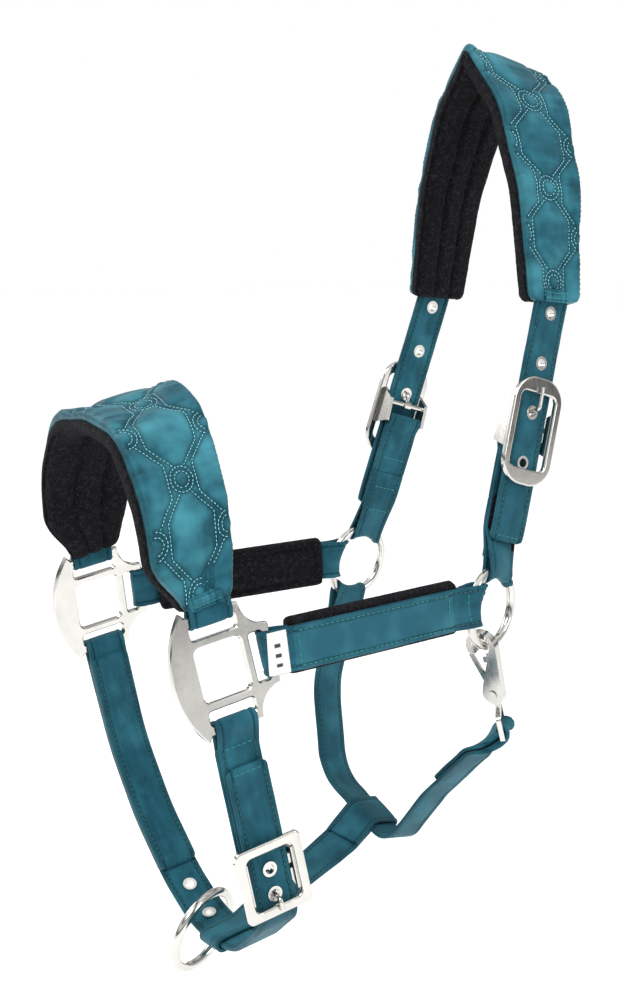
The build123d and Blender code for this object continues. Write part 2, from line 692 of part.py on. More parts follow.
def part_way(start, end, share):
    return tuple(a + (b - a) * share for a, b in zip(start, end))


def sleeve_run(start, end, share):
    """Ends of a sleeve as long as a strap is wide, on a straight run of a route."""
    half = STRAP_WIDTH / 2 / hypot(end[0] - start[0], end[1] - start[1])
    return [part_way(start, end, share - half), part_way(start, end, share + half)]


# Jaw strap: a sleeve round the chin strap, a sleeve round the throat strap and the strap between
front_run = sleeve_run(chin_route[3], chin_route[2], 0.5)
rear_run = sleeve_run(throat_route[2], throat_route[3], 0.6)
sleeves = []
for plane, run in ((face_plane, front_run), (throat_plane, rear_run)):
    middle = plane.from_local_coords((*part_way(*run, 0.5), 0))
    across = plane.from_local_coords((*run[1], 0)) - plane.from_local_coords((*run[0], 0))
    sleeves.append((plane, run, middle, across))
front_normal, rear_normal = face_plane.z_dir * -1, throat_normal * (1 if throat_normal.Y < 0 else -1)
wall = STRAP / 2 + SLEEVE_GAP
with BuildPart() as jaw_strap:
    for plane, run, middle, across in sleeves:
        outside = band(plane, run, (), -wall - PLY, wall + PLY)
        extrude(outside, amount=STRAP_WIDTH / 2 + SLEEVE_GAP + PLY, both=True)
    for (plane, run, middle, across), normal in zip(sleeves, (front_normal, rear_normal)):
        leave = middle + normal * (STRAP_WIDTH / 2 + SLEEVE_GAP + PLY / 2)
        with BuildSketch(Plane(origin=leave, x_dir=across, z_dir=front_normal)):
            Rectangle(STRAP_WIDTH, 4)
    loft(ruled=True)
    for plane, run, middle, across in sleeves:
        inside = band(plane, [part_way(*run, -1), part_way(*run, 2)], (), -wall, wall)
        extrude(inside, amount=STRAP_WIDTH / 2 + SLEEVE_GAP, both=True, mode=Mode.SUBTRACT)
save(jaw_strap.part, "jaw_strap")
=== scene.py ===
"""Looks of the padded head halter: sewn pads, webbing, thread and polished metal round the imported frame.

Shapes are worked out in millimetres from the poll seat, with +Z up, +X to the near side and -Y to the
nose, and become metres when a mesh is made.
"""
import json
import math

import bpy
import numpy as np
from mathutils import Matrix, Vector, noise


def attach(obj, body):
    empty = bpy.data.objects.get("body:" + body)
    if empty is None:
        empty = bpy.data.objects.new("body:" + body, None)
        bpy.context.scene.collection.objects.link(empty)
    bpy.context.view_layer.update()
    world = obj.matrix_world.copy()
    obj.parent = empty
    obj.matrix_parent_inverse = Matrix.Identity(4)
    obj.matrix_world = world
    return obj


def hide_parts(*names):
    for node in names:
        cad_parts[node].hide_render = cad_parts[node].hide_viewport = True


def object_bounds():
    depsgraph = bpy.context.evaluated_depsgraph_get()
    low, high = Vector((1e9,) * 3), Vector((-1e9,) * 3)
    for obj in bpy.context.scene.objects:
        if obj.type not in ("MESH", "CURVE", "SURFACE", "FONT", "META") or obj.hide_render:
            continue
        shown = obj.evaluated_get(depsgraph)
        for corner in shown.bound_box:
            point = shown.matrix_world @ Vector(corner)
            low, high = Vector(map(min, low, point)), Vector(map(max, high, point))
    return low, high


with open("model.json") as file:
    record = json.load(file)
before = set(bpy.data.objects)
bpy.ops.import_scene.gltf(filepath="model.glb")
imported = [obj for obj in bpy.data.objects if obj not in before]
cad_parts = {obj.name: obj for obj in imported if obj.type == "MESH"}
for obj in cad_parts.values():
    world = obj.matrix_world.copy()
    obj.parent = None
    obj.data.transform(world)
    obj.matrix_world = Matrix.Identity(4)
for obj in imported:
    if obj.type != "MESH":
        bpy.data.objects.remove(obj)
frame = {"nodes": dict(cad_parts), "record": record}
cad_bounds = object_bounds()
MM = 0.001

# Sizes that the straps and fittings share
WIDTH = 25.0
PLY = 2.0
CLEAR = 0.35
RING_RADIUS, RING_WIRE = 23.3, 2.7
PLATE, OUTER_BAR = 4.6, 5.0
BAR_OUT = 30.5 / 2 + 4.2 + 8 + OUTER_BAR / 2
BACK_BAR_OUT = 28.5 / 2 + 4.2 + 8 + OUTER_BAR / 2
BUCKLE_BAR = 1.7
STRAP_BAR_OUT = -5.2
BILLET_OUT = 2.4
CROWN_EYELETS = (182, 151, 120.5, 89.5)
CROWN_STRAP_BAR_AT = 102
CHIN_STRAP_BAR_AT = 79.5
CHIN_EYELETS = (84, 98.5)
CHIN_LOW_EYELETS = (0.575, 0.51)
HOOK_REACH, EYE_DROP, EYE_TURN = 33, 27, 38
EYELET_HOLE = 3.0
STITCH, STITCH_GAP, THREAD = 2.5, 0.9, 0.32
SIDES = {1: "left", -1: "right"}


# ---------------------------------------------------------------- geometry helpers
def vec(*xyz):
    return np.array(xyz, float)


def unit(v):
    return v / np.linalg.norm(v)


class Flat:
    """Flat frame of reference with x and y in it and z across it."""

    def __init__(self, origin, x, z):
        self.origin, self.z = np.array(origin, float), unit(np.array(z, float))
        x = np.array(x, float)
        self.x = unit(x - self.z * x.dot(self.z))
        self.y = np.cross(self.z, self.x)

    def at(self, x, y, z=0.0):
        return self.origin + x * self.x + y * self.y + z * self.z

    def line(self, points):
        return np.array([self.at(*p) for p in points])

    def seen(self, point):
        away = point - self.origin
        return np.array([away.dot(self.x), away.dot(self.y), away.dot(self.z)])

    def turned(self, angle):
        """Turned about its own y."""
        c, s = math.cos(math.radians(angle)), math.sin(math.radians(angle))
        return Flat(self.origin, c * self.x - s * self.z, s * self.x + c * self.z)


def rounded(points, radii, step=1.0):
    """Closely spaced points along an open line with its corners rounded."""
    points = [np.array(p, float) for p in points]
    out = [points[0]]
    for before, corner, after, radius in zip(points, points[1:], points[2:], radii):
        into, away = unit(corner - before), unit(after - corner)
        turn = math.acos(max(-1.0, min(1.0, into.dot(away))))
        if turn < 0.01:
            out.append(corner)
            continue
        room = 0.49 * min(np.linalg.norm(corner - before), np.linalg.norm(after - corner))
        radius = min(radius, room / math.tan(turn / 2))
        start = corner - into * radius * math.tan(turn / 2)
        side = unit(away - into * away.dot(into))
        for k in range(9):
            a = turn * k / 8
            out.append(start + radius * (math.sin(a) * into + (1 - math.cos(a)) * side))
    out.append(points[-1])
    return spaced(np.array(out), step=step)


def lengths(points):
    return np.concatenate([[0], np.cumsum(np.linalg.norm(np.diff(points, axis=0), axis=1))])


def spaced(points, step=None, count=None):
    """The same line in even steps."""
    run = lengths(points)
    if count is None:
        count = max(2, int(round(run[-1] / step)) + 1)
    at = np.linspace(0, run[-1], count)
    return np.stack([np.interp(at, run, points[:, k]) for k in range(points.shape[1])], axis=1)


def smooth(x):
    x = np.clip(x, 0, 1)
    return x * x * (3 - 2 * x)


def round_off(gap, radius):
    """How much a quarter-round edge takes away at a distance from the edge."""
    return radius - np.sqrt(np.maximum(radius ** 2 - (radius - np.clip(gap, 0, radius)) ** 2, 0))


def dome(gap, reach):
    """Height of a round edge, from 0 at the edge to 1 at this reach from it and beyond."""
    return math.sqrt(max(1 - max(0, 1 - gap / reach) ** 2, 0))


def ripple(points, size, seed=0.0):
    """Smooth noise between -1 and 1 at each point, with features of about this size."""
    return np.array([noise.noise(Vector((p[0] / size + seed, p[1] / size, p[2] / size))) for p in points])


def make_mesh(name, points, faces, material, uvs=None, drawn=None):
    """Mesh piece from points in millimetres.

    The uvs are millimetres along and across the cloth. Painted shade is how much shade is painted on each
    point, from 0 to 1.
    """
    mesh = bpy.data.meshes.new(name)
    mesh.from_pydata((np.asarray(points) * MM).tolist(), [], [list(f) for f in faces])
    mesh.update()
    if uvs is not None:
        layer = mesh.uv_layers.new(name="cloth")
        corner_vertex = np.zeros(len(mesh.loops), int)
        mesh.loops.foreach_get("vertex_index", corner_vertex)
        layer.data.foreach_set("uv", (np.asarray(uvs)[corner_vertex] * MM).ravel())
        if drawn is not None:
            layer = mesh.uv_layers.new(name="drawn")
            layer.data.foreach_set("uv", np.stack([drawn, drawn], axis=1)[corner_vertex].ravel())
    piece = bpy.data.objects.new(name, mesh)
    bpy.context.scene.collection.objects.link(piece)
    mesh.materials.append(material)
    mesh.polygons.foreach_set("use_smooth", [True] * len(mesh.polygons))
    return piece


def tube_faces(rings, around):
    """Faces of a closed tube whose points come ring after ring."""
    faces = []
    for i in range(rings - 1):
        for j in range(around):
            k = (j + 1) % around
            faces.append((i * around + j, i * around + k, (i + 1) * around + k, (i + 1) * around + j))
    faces.append(tuple(range(around))[::-1])
    faces.append(tuple(range((rings - 1) * around, rings * around)))
    return faces


# ---------------------------------------------------------------- shader helpers
class Wire:
    """A shader socket that takes part in sums: each operator adds the Math node that it stands for."""

    def __init__(self, nodes, socket):
        self.nodes, self.socket = nodes, socket

    def sum(self, operation, *values):
        return self.nodes.node("ShaderNodeMath", {"operation": operation}, dict(enumerate(values)))

    def __add__(self, other):
        return self.sum("ADD", self, other)

    def __sub__(self, other):
        return self.sum("SUBTRACT", self, other)

    def __rsub__(self, other):
        return self.sum("SUBTRACT", other, self)

    def __mul__(self, other):
        return self.sum("MULTIPLY", self, other)

    def __gt__(self, other):
        return self.sum("GREATER_THAN", self, other)

    def __lt__(self, other):
        return self.sum("LESS_THAN", self, other)

    __radd__ = __add__
    __rmul__ = __mul__

    def sine(self):
        return self.sum("SINE", self)

    def size(self):
        return self.sum("ABSOLUTE", self)

    def clipped(self):
        return self.sum("MINIMUM", self.sum("MAXIMUM", self, 0.0), 1.0)


class Nodes:
    """The nodes of a material or of the room."""

    def __init__(self, owner):
        owner.use_nodes = True
        self.tree = owner.node_tree

    def node(self, kind, settings=None, sockets=None, out=0):
        """Adds a node: its settings first, then values or links for its sockets."""
        made = self.tree.nodes.new(kind)
        for name, value in (settings or {}).items():
            if name == "stops":
                ramp = made.color_ramp.elements
                while len(ramp) < len(value):
                    ramp.new(0.5)
                for stop, (place, colour) in zip(ramp, value):
                    stop.position, stop.color = place, colour
            else:
                setattr(made, name, value)
        for name, value in (sockets or {}).items():
            if isinstance(value, Wire):
                self.tree.links.new(value.socket, made.inputs[name])
            else:
                made.inputs[name].default_value = value
        return Wire(self, made.outputs[out])

    def blend(self, share, first, second):
        """Colour between two colours."""
        return self.node("ShaderNodeMix", {"data_type": "RGBA"}, {0: share, 6: first, 7: second}, out=2)


class Finish(Nodes):
    """A material for one kind of surface. Its constants are set on the shader's own sockets."""

    def __init__(self, name, **constants):
        self.material = bpy.data.materials.new(name)
        super().__init__(self.material)
        self.shader = self.tree.nodes["Principled BSDF"]
        for socket, value in constants.items():
            self.shader.inputs[socket.replace("_", " ")].default_value = value

    def cloth(self):
        """Millimetres along and across the cloth, and the place in the cloth as a vector."""
        place = self.node("ShaderNodeUVMap", {"uv_map": "cloth"})
        parts = self.node("ShaderNodeSeparateXYZ", {}, {0: place})
        return parts * 1000, Wire(self, parts.socket.node.outputs[1]) * 1000, place

    def body(self):
        """Place in the halter, in metres."""
        return self.node("ShaderNodeTexCoord", out=3)

    def speckle(self, place, scale, detail=2.0, stretch=(1, 1, 1)):
        if stretch != (1, 1, 1):
            place = self.node("ShaderNodeMapping", {}, {0: place, "Scale": stretch})
        return self.node("ShaderNodeTexNoise", {}, {"Vector": place, "Scale": scale, "Detail": detail})

    def feed(self, **links):
        for socket, value in links.items():
            self.tree.links.new(value.socket, self.shader.inputs[socket.replace("_", " ")])

    def relief(self, height, strength, distance):
        """Bump from a height."""
        made = self.node("ShaderNodeBump", {}, {"Strength": strength, "Distance": distance, "Height": height})
        self.feed(Normal=made)


def rgba(r, g, b):
    return (r, g, b, 1.0)


SHEEN = rgba(0.30, 0.80, 0.90)
# Colour of painted shade: in the creases at the seams, towards the strap edges, and along the satin's
# quilting, folds and rim
PAINTED_SHADE_COLOUR = rgba(0.002, 0.018, 0.028)
SEAM_AT = 9.5


def webbing_finish(name, deep, mid, light, roughness=0.5):
    """Closely woven satin webbing: fine cross ribs, lengthwise streaks of painted sheen and shade, and
    painted shade in the crease at each seam and towards the edges.
    """
    f = Finish(name, Sheen_Weight=0.12, Sheen_Roughness=0.35, Sheen_Tint=SHEEN, Specular_IOR_Level=0.3)
    f.shader.inputs["Specular Tint"].default_value = SHEEN
    along, across, place = f.cloth()
    # Streaks along the cloth are painted sheen and shade: lighter where the bump rises, darker in its grooves
    streaks = f.speckle(place, 130, 3, (0.3, 1.6, 1))
    patches = f.speckle(f.body(), 46, 3)
    twill = ((along * 0.55 + across) * 5.6).sine()
    ribs = (along * 11.0).sine() * (across * 11.0).sine()
    # Painted shade in the crease along each seam, and darker beyond the seam towards each edge
    seam = 1 - ((across.size() - SEAM_AT).size() * 0.85).clipped()
    border = ((across.size() - SEAM_AT - 1.0) * 0.5).clipped()
    tone = f.blend((streaks * 2.2 - 0.6).clipped(), deep, mid)
    tone = f.blend(((patches - 0.45) * 3.6).clipped() * 0.7, tone, light)
    tone = f.blend((twill * 0.10 + ribs * 0.08 + 0.10).clipped(), tone, light)
    f.feed(Base_Color=f.blend((seam * 0.85 + border * 0.35).clipped(), tone, PAINTED_SHADE_COLOUR))
    f.feed(Roughness=streaks * 0.2 + (roughness - 0.08))
    f.relief(twill * 0.3 + ribs * 0.25 + streaks * 2.0 - seam * 1.6, 0.6, 0.0006)
    return f.material


def satin_finish(name, deep, mid, light):
    """Smooth satin over padding, with painted shade in the troughs of its creases, along the sewing, in its
    folds and at its rim, and light on its full places.
    """
    f = Finish(name, Sheen_Weight=0.15, Sheen_Roughness=0.3, Sheen_Tint=SHEEN, Specular_IOR_Level=0.35)
    f.shader.inputs["Specular Tint"].default_value = SHEEN
    along, across, place = f.cloth()
    # Creases and brushing paint shade into the troughs of the bump and leave its ridges lighter
    creases = f.speckle(place, 75, 4, (1.8, 0.45, 1))
    brushed = f.speckle(place, 240, 3, (0.35, 1.5, 1))
    patches = f.speckle(f.body(), 26, 3)
    weave = (along * 10.0).sine() * (across * 10.0).sine()
    # Painted shade per point: along the quilting, in the folds and at the rim
    drawn = f.node("ShaderNodeSeparateXYZ", {}, {0: f.node("ShaderNodeUVMap", {"uv_map": "drawn"})})
    tone = f.blend((creases * 2.8 + brushed * 0.9 - 1.3).clipped(), deep, mid)
    tone = f.blend(((patches - 0.475) * 5.0).clipped() * 0.85, tone, light)
    tone = f.blend((weave * 0.05 + 0.05), tone, light)
    f.feed(Base_Color=f.blend((drawn * 0.8).clipped(), tone, PAINTED_SHADE_COLOUR))
    f.feed(Roughness=creases * 0.22 + 0.28)
    f.relief(creases * 2.2 + brushed * 0.5 + weave * 0.1, 0.5, 0.0007)
    return f.material


def fleece_finish():
    """Short curly pile with painted highlights on a few of its tips."""
    f = Finish("black_fleece", Sheen_Weight=0.03, Sheen_Roughness=0.6, Specular_IOR_Level=0.08)
    place = f.body()
    curls = f.speckle(place, 1100, 3)
    tufts = f.speckle(place, 330, 2)
    # Painted highlights on the tips of the curls, where the bump stands highest
    tip_highlights = ((curls * 1.3 + tufts * 0.7 - 1.03) * 4.5).clipped()
    f.feed(Base_Color=f.blend(tip_highlights, rgba(0.0035, 0.0035, 0.0050), rgba(0.026, 0.026, 0.033)))
    f.feed(Roughness=curls * 0.2 + 0.78)
    f.relief(curls * 1.2 + tufts, 1.0, 0.0016)
    return f.material


def steel_finish(name, colour, roughness):
    """Plated metal with polishing marks, small pits and duller low places."""
    f = Finish(name, Metallic=1.0)
    place = f.body()
    marks = f.speckle(place, 420, 4, (1, 1, 0.25))
    clouds = f.speckle(place, 60, 3)
    pits = ((f.speckle(place, 900, 2) - 0.66) * 9).clipped()
    dull = tuple(c * 0.74 for c in colour)
    worn = ((clouds - 0.42) * 3).clipped() * 0.55 + pits * 0.5
    f.feed(Base_Color=f.blend(worn.clipped(), rgba(*colour), rgba(*dull)))
    f.feed(Roughness=marks * 0.1 + clouds * 0.08 + (roughness - 0.08))
    f.relief(marks * 0.3 + clouds * 1.4, 0.12, 0.0004)
    return f.material


def thread_finish(name, colour, shade):
    """Twisted sewing thread."""
    f = Finish(name, Sheen_Weight=0.2, Roughness=0.45)
    twist = f.speckle(f.body(), 1500, 1)
    f.feed(Base_Color=f.blend(twist, rgba(*shade), rgba(*colour)))
    return f.material


def label_finish():
    """White woven label with three plain bars in place of its lettering."""
    f = Finish("label_weave", Roughness=0.75, Sheen_Weight=0.15)
    along, across, place = f.cloth()
    rib = (across * 12.0).sine() * (along * 12.0).sine()
    column = ((along - 5.8).size() < 1.9)
    bars = (((across * 1.16).sine()) > 0.35) * (across.size() < 7.6) * column
    paper = f.blend(rib * 0.5 + 0.5, rgba(0.74, 0.73, 0.70), rgba(0.83, 0.82, 0.80))
    f.feed(Base_Color=f.blend(bars, paper, rgba(0.03, 0.03, 0.035)))
    f.relief(rib, 0.25, 0.0002)
    return f.material


DEEP, MID, LIGHT = rgba(0.005, 0.036, 0.058), rgba(0.013, 0.088, 0.132), rgba(0.034, 0.178, 0.236)
webbing = webbing_finish("teal_webbing", DEEP, MID, LIGHT)
lined_webbing = webbing_finish("teal_padded_webbing", DEEP, MID, LIGHT, roughness=0.42)
COVER_MID, COVER_LIGHT = rgba(0.015, 0.090, 0.132), rgba(0.044, 0.196, 0.254)
satin_webbing = webbing_finish("teal_cover_webbing", MID, COVER_MID, COVER_LIGHT, roughness=0.34)
SATIN_DEEP, SATIN_MID = rgba(0.006, 0.046, 0.070), rgba(0.018, 0.112, 0.158)
satin = satin_finish("teal_satin", SATIN_DEEP, SATIN_MID, rgba(0.058, 0.262, 0.325))
fleece = fleece_finish()
chrome = steel_finish("polished_steel", (0.66, 0.645, 0.61), roughness=0.15)
nickel = steel_finish("nickel_eyelet", (0.68, 0.67, 0.64), roughness=0.24)
quilt_thread = thread_finish("quilt_thread", (0.36, 0.82, 0.90), (0.15, 0.54, 0.64))
seam_thread = thread_finish("seam_thread", (0.012, 0.150, 0.165), (0.002, 0.035, 0.045))
bright_thread = thread_finish("bright_thread", (0.008, 0.30, 0.28), (0.003, 0.12, 0.12))
label_cloth = label_finish()


# ---------------------------------------------------------------- sewing
class Sewing:
    """Stitches gathered into one piece: each is a short sunk capsule of thread."""

    AROUND = 6
    PROFILE = ((0.0, 0.35), (0.12, 0.85), (0.5, 1.0), (0.88, 0.85), (1.0, 0.35))

    def __init__(self):
        self.points, self.faces = [], []

    def row(self, points, normals, stitch=STITCH, gap=STITCH_GAP, thread=THREAD):
        """Stitches along a line on a surface."""
        run = lengths(points)
        count = int((run[-1] + gap) // (stitch + gap))
        spare = (run[-1] - count * (stitch + gap) + gap) / 2
        for k in range(count):
            start = spare + k * (stitch + gap)
            at = start + np.array([share for share, _ in self.PROFILE]) * stitch
            centre = np.stack([np.interp(at, run, points[:, i]) for i in range(3)], axis=1)
            up = np.stack([np.interp(at, run, normals[:, i]) for i in range(3)], axis=1)
            along = unit(centre[-1] - centre[0])
            rings = []
            for c, n, (_, fat) in zip(centre, up, self.PROFILE):
                n = unit(n - along * n.dot(along))
                side = np.cross(along, n)
                for j in range(self.AROUND):
                    a = 2 * math.pi * j / self.AROUND
                    rings.append(c + thread * fat * (math.cos(a) * side + (math.sin(a) + 0.1) * n))
            base = len(self.points)
            self.points += rings
            self.faces += [tuple(base + i for i in f) for f in tube_faces(len(self.PROFILE), self.AROUND)]

    def make(self, name, material, slot):
        piece = make_mesh(name, self.points, self.faces, material)
        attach(piece, "halter")
        return piece


seams, bright_seams = Sewing(), Sewing()


# ---------------------------------------------------------------- straps
# Half of a strap's face, from its edge over the groove of the seam to its middle, then the whole face
HALF_FACE = ((-1, 0), (-0.985, 0.7), (-0.94, 1.02), (-0.86, 1.05), (-0.76, 0.55))
HALF_FACE += ((-0.66, 1.0), (-0.35, 1.12), (0, 1.15))
FACE = HALF_FACE + tuple((-v, n) for v, n in HALF_FACE[-2::-1])


class Ribbon:
    """Flat strap along a line. Its outward face is the one that along x across points to.

    The corners are the radii of its two ends, and the crease is how far its cloth waves.
    """

    TIP = 0.35

    def __init__(self, name, centre, across, thick=PLY, width=WIDTH, corners=(0, 0), smile=None, crease=0.2):
        self.centre = np.asarray(centre, float)
        count = len(self.centre)
        along = np.gradient(self.centre, axis=0)
        along /= np.linalg.norm(along, axis=1)[:, None]
        across = np.asarray(across, float)
        if across.ndim == 1:
            across = np.repeat(across[None], count, axis=0)
        out = np.cross(along, across)
        self.out = out / np.linalg.norm(out, axis=1)[:, None]
        self.across = np.cross(self.out, along)
        self.run = lengths(self.centre)
        half = np.ones(count) * width / 2 if np.isscalar(width) else np.asarray(width) / 2
        for radius, gone in zip(corners, (self.run, self.run[-1] - self.run)):
            if radius:
                half = half - round_off(gone, radius)
        self.half, self.thick, self.name, self.smile, self.crease = half, thick, name, smile, crease

    def bend(self, i, v):
        """Shift of a point of ring i that follows a curved ring wire."""
        return 0 if self.smile is None else self.smile(i, v)

    def place(self, i, v, n):
        return self.centre[i] + self.across[i] * v + self.out[i] * n + self.bend(i, v)

    def build(self, material, holes=()):
        rings, uvs = [], []
        back = [(v, -min(n, 1.0)) for v, n in FACE[-2:0:-1]]
        section = list(FACE) + back
        last = len(self.centre) - 1
        order = [(0, 0.5, -self.TIP)] + [(i, 1.0, 0) for i in range(last + 1)] + [(last, 0.5, self.TIP)]
        for i, fat, beyond in order:
            tip = np.gradient(self.centre, axis=0)[i]
            tip = tip / np.linalg.norm(tip) * beyond
            for v, n in section:
                wide = self.half[i] - abs(beyond)
                wave = self.crease * noise.noise(Vector((self.run[i] / 11, v * 1.4, self.centre[0][2] / 7)))
                rings.append(self.place(i, v * wide, n * fat * self.thick / 2 + wave) + tip)
                uvs.append((self.run[i] + beyond, v * wide))
        faces = tube_faces(len(order), len(section))
        piece = make_mesh(self.name, rings, faces, material, uvs)
        for centre, axis in holes:
            punch(piece, centre, axis)
        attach(piece, "halter")
        return piece

    def edge_rows(self, sewing, start=3.0, end=3.0, inset=3.0, faces=(1, -1), **thread):
        """A row of stitches near each edge, from start to end short of the strap's own ends."""
        rows = np.where((self.run >= start) & (self.run <= self.run[-1] - end))[0]
        for side in (-1, 1):
            for face in faces:
                v = side * (self.half - inset)
                line = [self.place(i, v[i], face * self.thick * 0.42) for i in rows]
                sewing.row(np.array(line), face * self.out[rows], **thread)

    def cross_row(self, sewing, at, reach=9.0, face=1, **thread):
        i = int(np.argmin(abs(self.run - at)))
        line = np.array([self.place(i, v, face * self.thick * 0.53) for v in np.linspace(-reach, reach, 12)])
        sewing.row(line, np.repeat((face * self.out[i])[None], 12, axis=0), **thread)


def punch(piece, centre, axis, radius=EYELET_HOLE):
    """Round hole through a strap."""
    bpy.ops.mesh.primitive_cylinder_add(vertices=32, radius=radius * MM, depth=12 * MM)
    tool = bpy.context.object
    tool.rotation_euler = Vector(axis).to_track_quat("Z", "Y").to_euler()
    tool.location = Vector(np.asarray(centre) * MM)
    bpy.context.view_layer.update()
    cut = piece.modifiers.new("hole", "BOOLEAN")
    cut.operation, cut.object, cut.solver = "DIFFERENCE", tool, "EXACT"
    bpy.context.view_layer.update()
    made = bpy.data.meshes.new_from_object(piece.evaluated_get(bpy.context.evaluated_depsgraph_get()))
    piece.modifiers.clear()
    piece.data = made
    bpy.data.objects.remove(tool)


# ---------------------------------------------------------------- places of the assembly
SQUARE_AT = vec(85.5, -245, -328)
CHEEK_RING_AT = vec(75, -57, -322)
CROWN_PAD_END_AT = vec(58, -5, -141)
THROAT_LOW_AT = vec(5, -78, -486)
LEAN = math.radians(10)
FLARE = math.radians(8)
face_flat = Flat((0, -245, -328), (1, 0, 0), (0, -math.cos(LEAN), -math.sin(LEAN)))


def mirrored(point, side):
    return point * vec(side, 1, 1)


def square_flat(side):
    back = vec(0, math.cos(LEAN), math.sin(LEAN))
    up = vec(-side * math.sin(FLARE), -math.sin(LEAN) * math.cos(FLARE), math.cos(LEAN) * math.cos(FLARE))
    return Flat(mirrored(SQUARE_AT, side), back, np.cross(back, up))


def side_flat(side):
    ring = mirrored(CHEEK_RING_AT, side)
    up = unit(mirrored(CROWN_PAD_END_AT, side) - ring)
    back = unit(np.cross(up, vec(1, 0, 0)))
    return Flat(ring, back, np.cross(back, up))


def side_profile(side):
    """x up the side of the crown and y outward."""
    flat = side_flat(side)
    return Flat(flat.origin, flat.y, np.cross(flat.y, flat.z * side))


ring_flats = {1: side_flat(1).turned(20), -1: side_flat(-1).turned(12)}
leg_top = square_flat(1).at(0, -BAR_OUT)
leg_run = unit(face_flat.at(98, -120) - leg_top)
leg = Flat(leg_top, leg_run, np.cross(leg_run, vec(1, 0, 0)))
snap_up = unit(vec(0.03, -0.30, 0.953))
ring_low = ring_flats[1].at(0, -RING_RADIUS)
eye_at = ring_low - snap_up * (HOOK_REACH + EYE_DROP)
ring_far = ring_flats[-1].at(0, -RING_RADIUS)
throat_normal = unit(np.cross(eye_at - THROAT_LOW_AT, ring_far - THROAT_LOW_AT))
throat = Flat(THROAT_LOW_AT, np.cross(vec(0, 0, 1), throat_normal), throat_normal)
eye_flat = unit(throat_normal - snap_up * throat_normal.dot(snap_up))
turn_sin, turn_cos = math.sin(math.radians(EYE_TURN)), math.cos(math.radians(EYE_TURN))
eye_across = eye_flat * turn_cos + np.cross(snap_up, eye_flat) * turn_sin


def ring_smile(flat, centre, near, reach=16.0):
    """Shift that wraps a strap's end round a curved ring wire, fading out along the strap."""
    wire_at = flat.origin

    def shift(i, v):
        gap = np.linalg.norm(centre[i] - near)
        share = float(smooth(1 - (gap - 5) / reach))
        return unit(wire_at - near) * share * (RING_RADIUS - math.sqrt(max(RING_RADIUS ** 2 - v * v, 1)))

    return shift


RING_FOLD = RING_WIRE + CLEAR + PLY / 2
BAR_FOLD = PLATE / 2 + CLEAR + PLY / 2
BUCKLE_FOLD = BUCKLE_BAR + CLEAR + 0.9


# ---------------------------------------------------------------- cheek straps
def cheek_strap(side):
    bar_at = square_flat(side).at(BACK_BAR_OUT, 0)
    ring = ring_flats[side]
    ring_at = ring.at(-RING_RADIUS, 0)
    run = unit(ring_at - bar_at)
    flat = Flat(bar_at, run, np.cross(run, vec(side, 0, 0)))
    length = np.linalg.norm(ring_at - bar_at)
    far = length + RING_FOLD
    route = [(15, 0.6), (8, -2.6), (1.5, -BAR_FOLD), (-BAR_FOLD, -BAR_FOLD), (-BAR_FOLD, BAR_FOLD), (14, 3.1)]
    route += [(length - 12, 3.1), (length - 1, RING_FOLD), (far, RING_FOLD), (far, -RING_FOLD)]
    route += [(length - 3, -RING_FOLD), (length - 9, -2.4), (length - 15, 0.4)]
    radii = (6, 6, 3.4, 3.4, 30, 30, 8, 3.6, 3.6, 6, 6)
    line = rounded(route, radii)
    places = flat.line(line)
    turn = smooth((line[:, 0] - 6) / (length - 10))[:, None]
    up_here, up_ring = square_flat(side).y, ring.y
    across = (1 - turn) * up_here + turn * up_ring
    across /= np.linalg.norm(across, axis=1)[:, None]
    along = np.gradient(places, axis=0)
    if np.cross(along[len(along) // 2], across[len(across) // 2]).dot(vec(side, 0, 0)) < 0:
        across = -across
    smile = ring_smile(ring, places, ring_at)
    strap = Ribbon(f"cheek_strap_{SIDES[side]}_webbing", places, across, smile=smile)
    piece = strap.build(lined_webbing)
    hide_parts(f"cheek_strap_{SIDES[side]}")
    outer = (strap.run > 22) & (strap.run < strap.run[-1] - 22)
    rows = np.where(outer)[0]
    for v in (-9.4, 9.4):
        seams.row(np.array([strap.place(i, v, strap.thick * 0.42) for i in rows]), strap.out[rows])
    for at in (rows[0] + 9, rows[-1] - 12):
        strap.cross_row(bright_seams, strap.run[at])
    strap.cross_row(seams, strap.run[rows[-1] - 2])
    return flat, length


def soft_block(name, flat, x0, x1, half, low, high, round_ends, channels, material, detail=1.2):
    """Fleece pad with rounded ends and lengthwise channels in its lower face."""
    columns = int((x1 - x0) / detail)
    rows = int(2 * half / detail)
    edge, groove_deep, middle = 3.2, 1.7, (low + high) / 2
    rings, uvs = [], []
    for i in range(columns + 1):
        x = x0 + (x1 - x0) * i / columns
        gap = min(x - x0, x1 - x)
        reach = half - round_off(gap, round_ends)
        fat = 0.45 + 0.55 * dome(gap, 3)
        for face, level in ((1, high), (-1, low)):
            for j in range(rows + 1):
                v = face * (-reach + 2 * reach * j / rows)
                rim = dome(reach - abs(v), edge)
                dip = 0
                if face == -1:
                    dip = sum(groove_deep * math.exp(-((v - c * half) / 1.5) ** 2) for c in channels)
                    if abs(v) < 0.7 * half:
                        dip = max(dip, groove_deep * math.exp(-((gap - 6.5) / 1.4) ** 2))
                rings.append((x, middle + (level - middle + dip) * fat * rim, v))
                uvs.append((x, v))
    rings = flat.line(rings)
    fuzz = ripple(rings, 1.9, 3.0)
    rings = rings + fuzz[:, None] * 0.28 * flat.y
    piece = make_mesh(name, rings, tube_faces(columns + 1, 2 * rows + 2), material, uvs)
    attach(piece, "halter")
    return piece


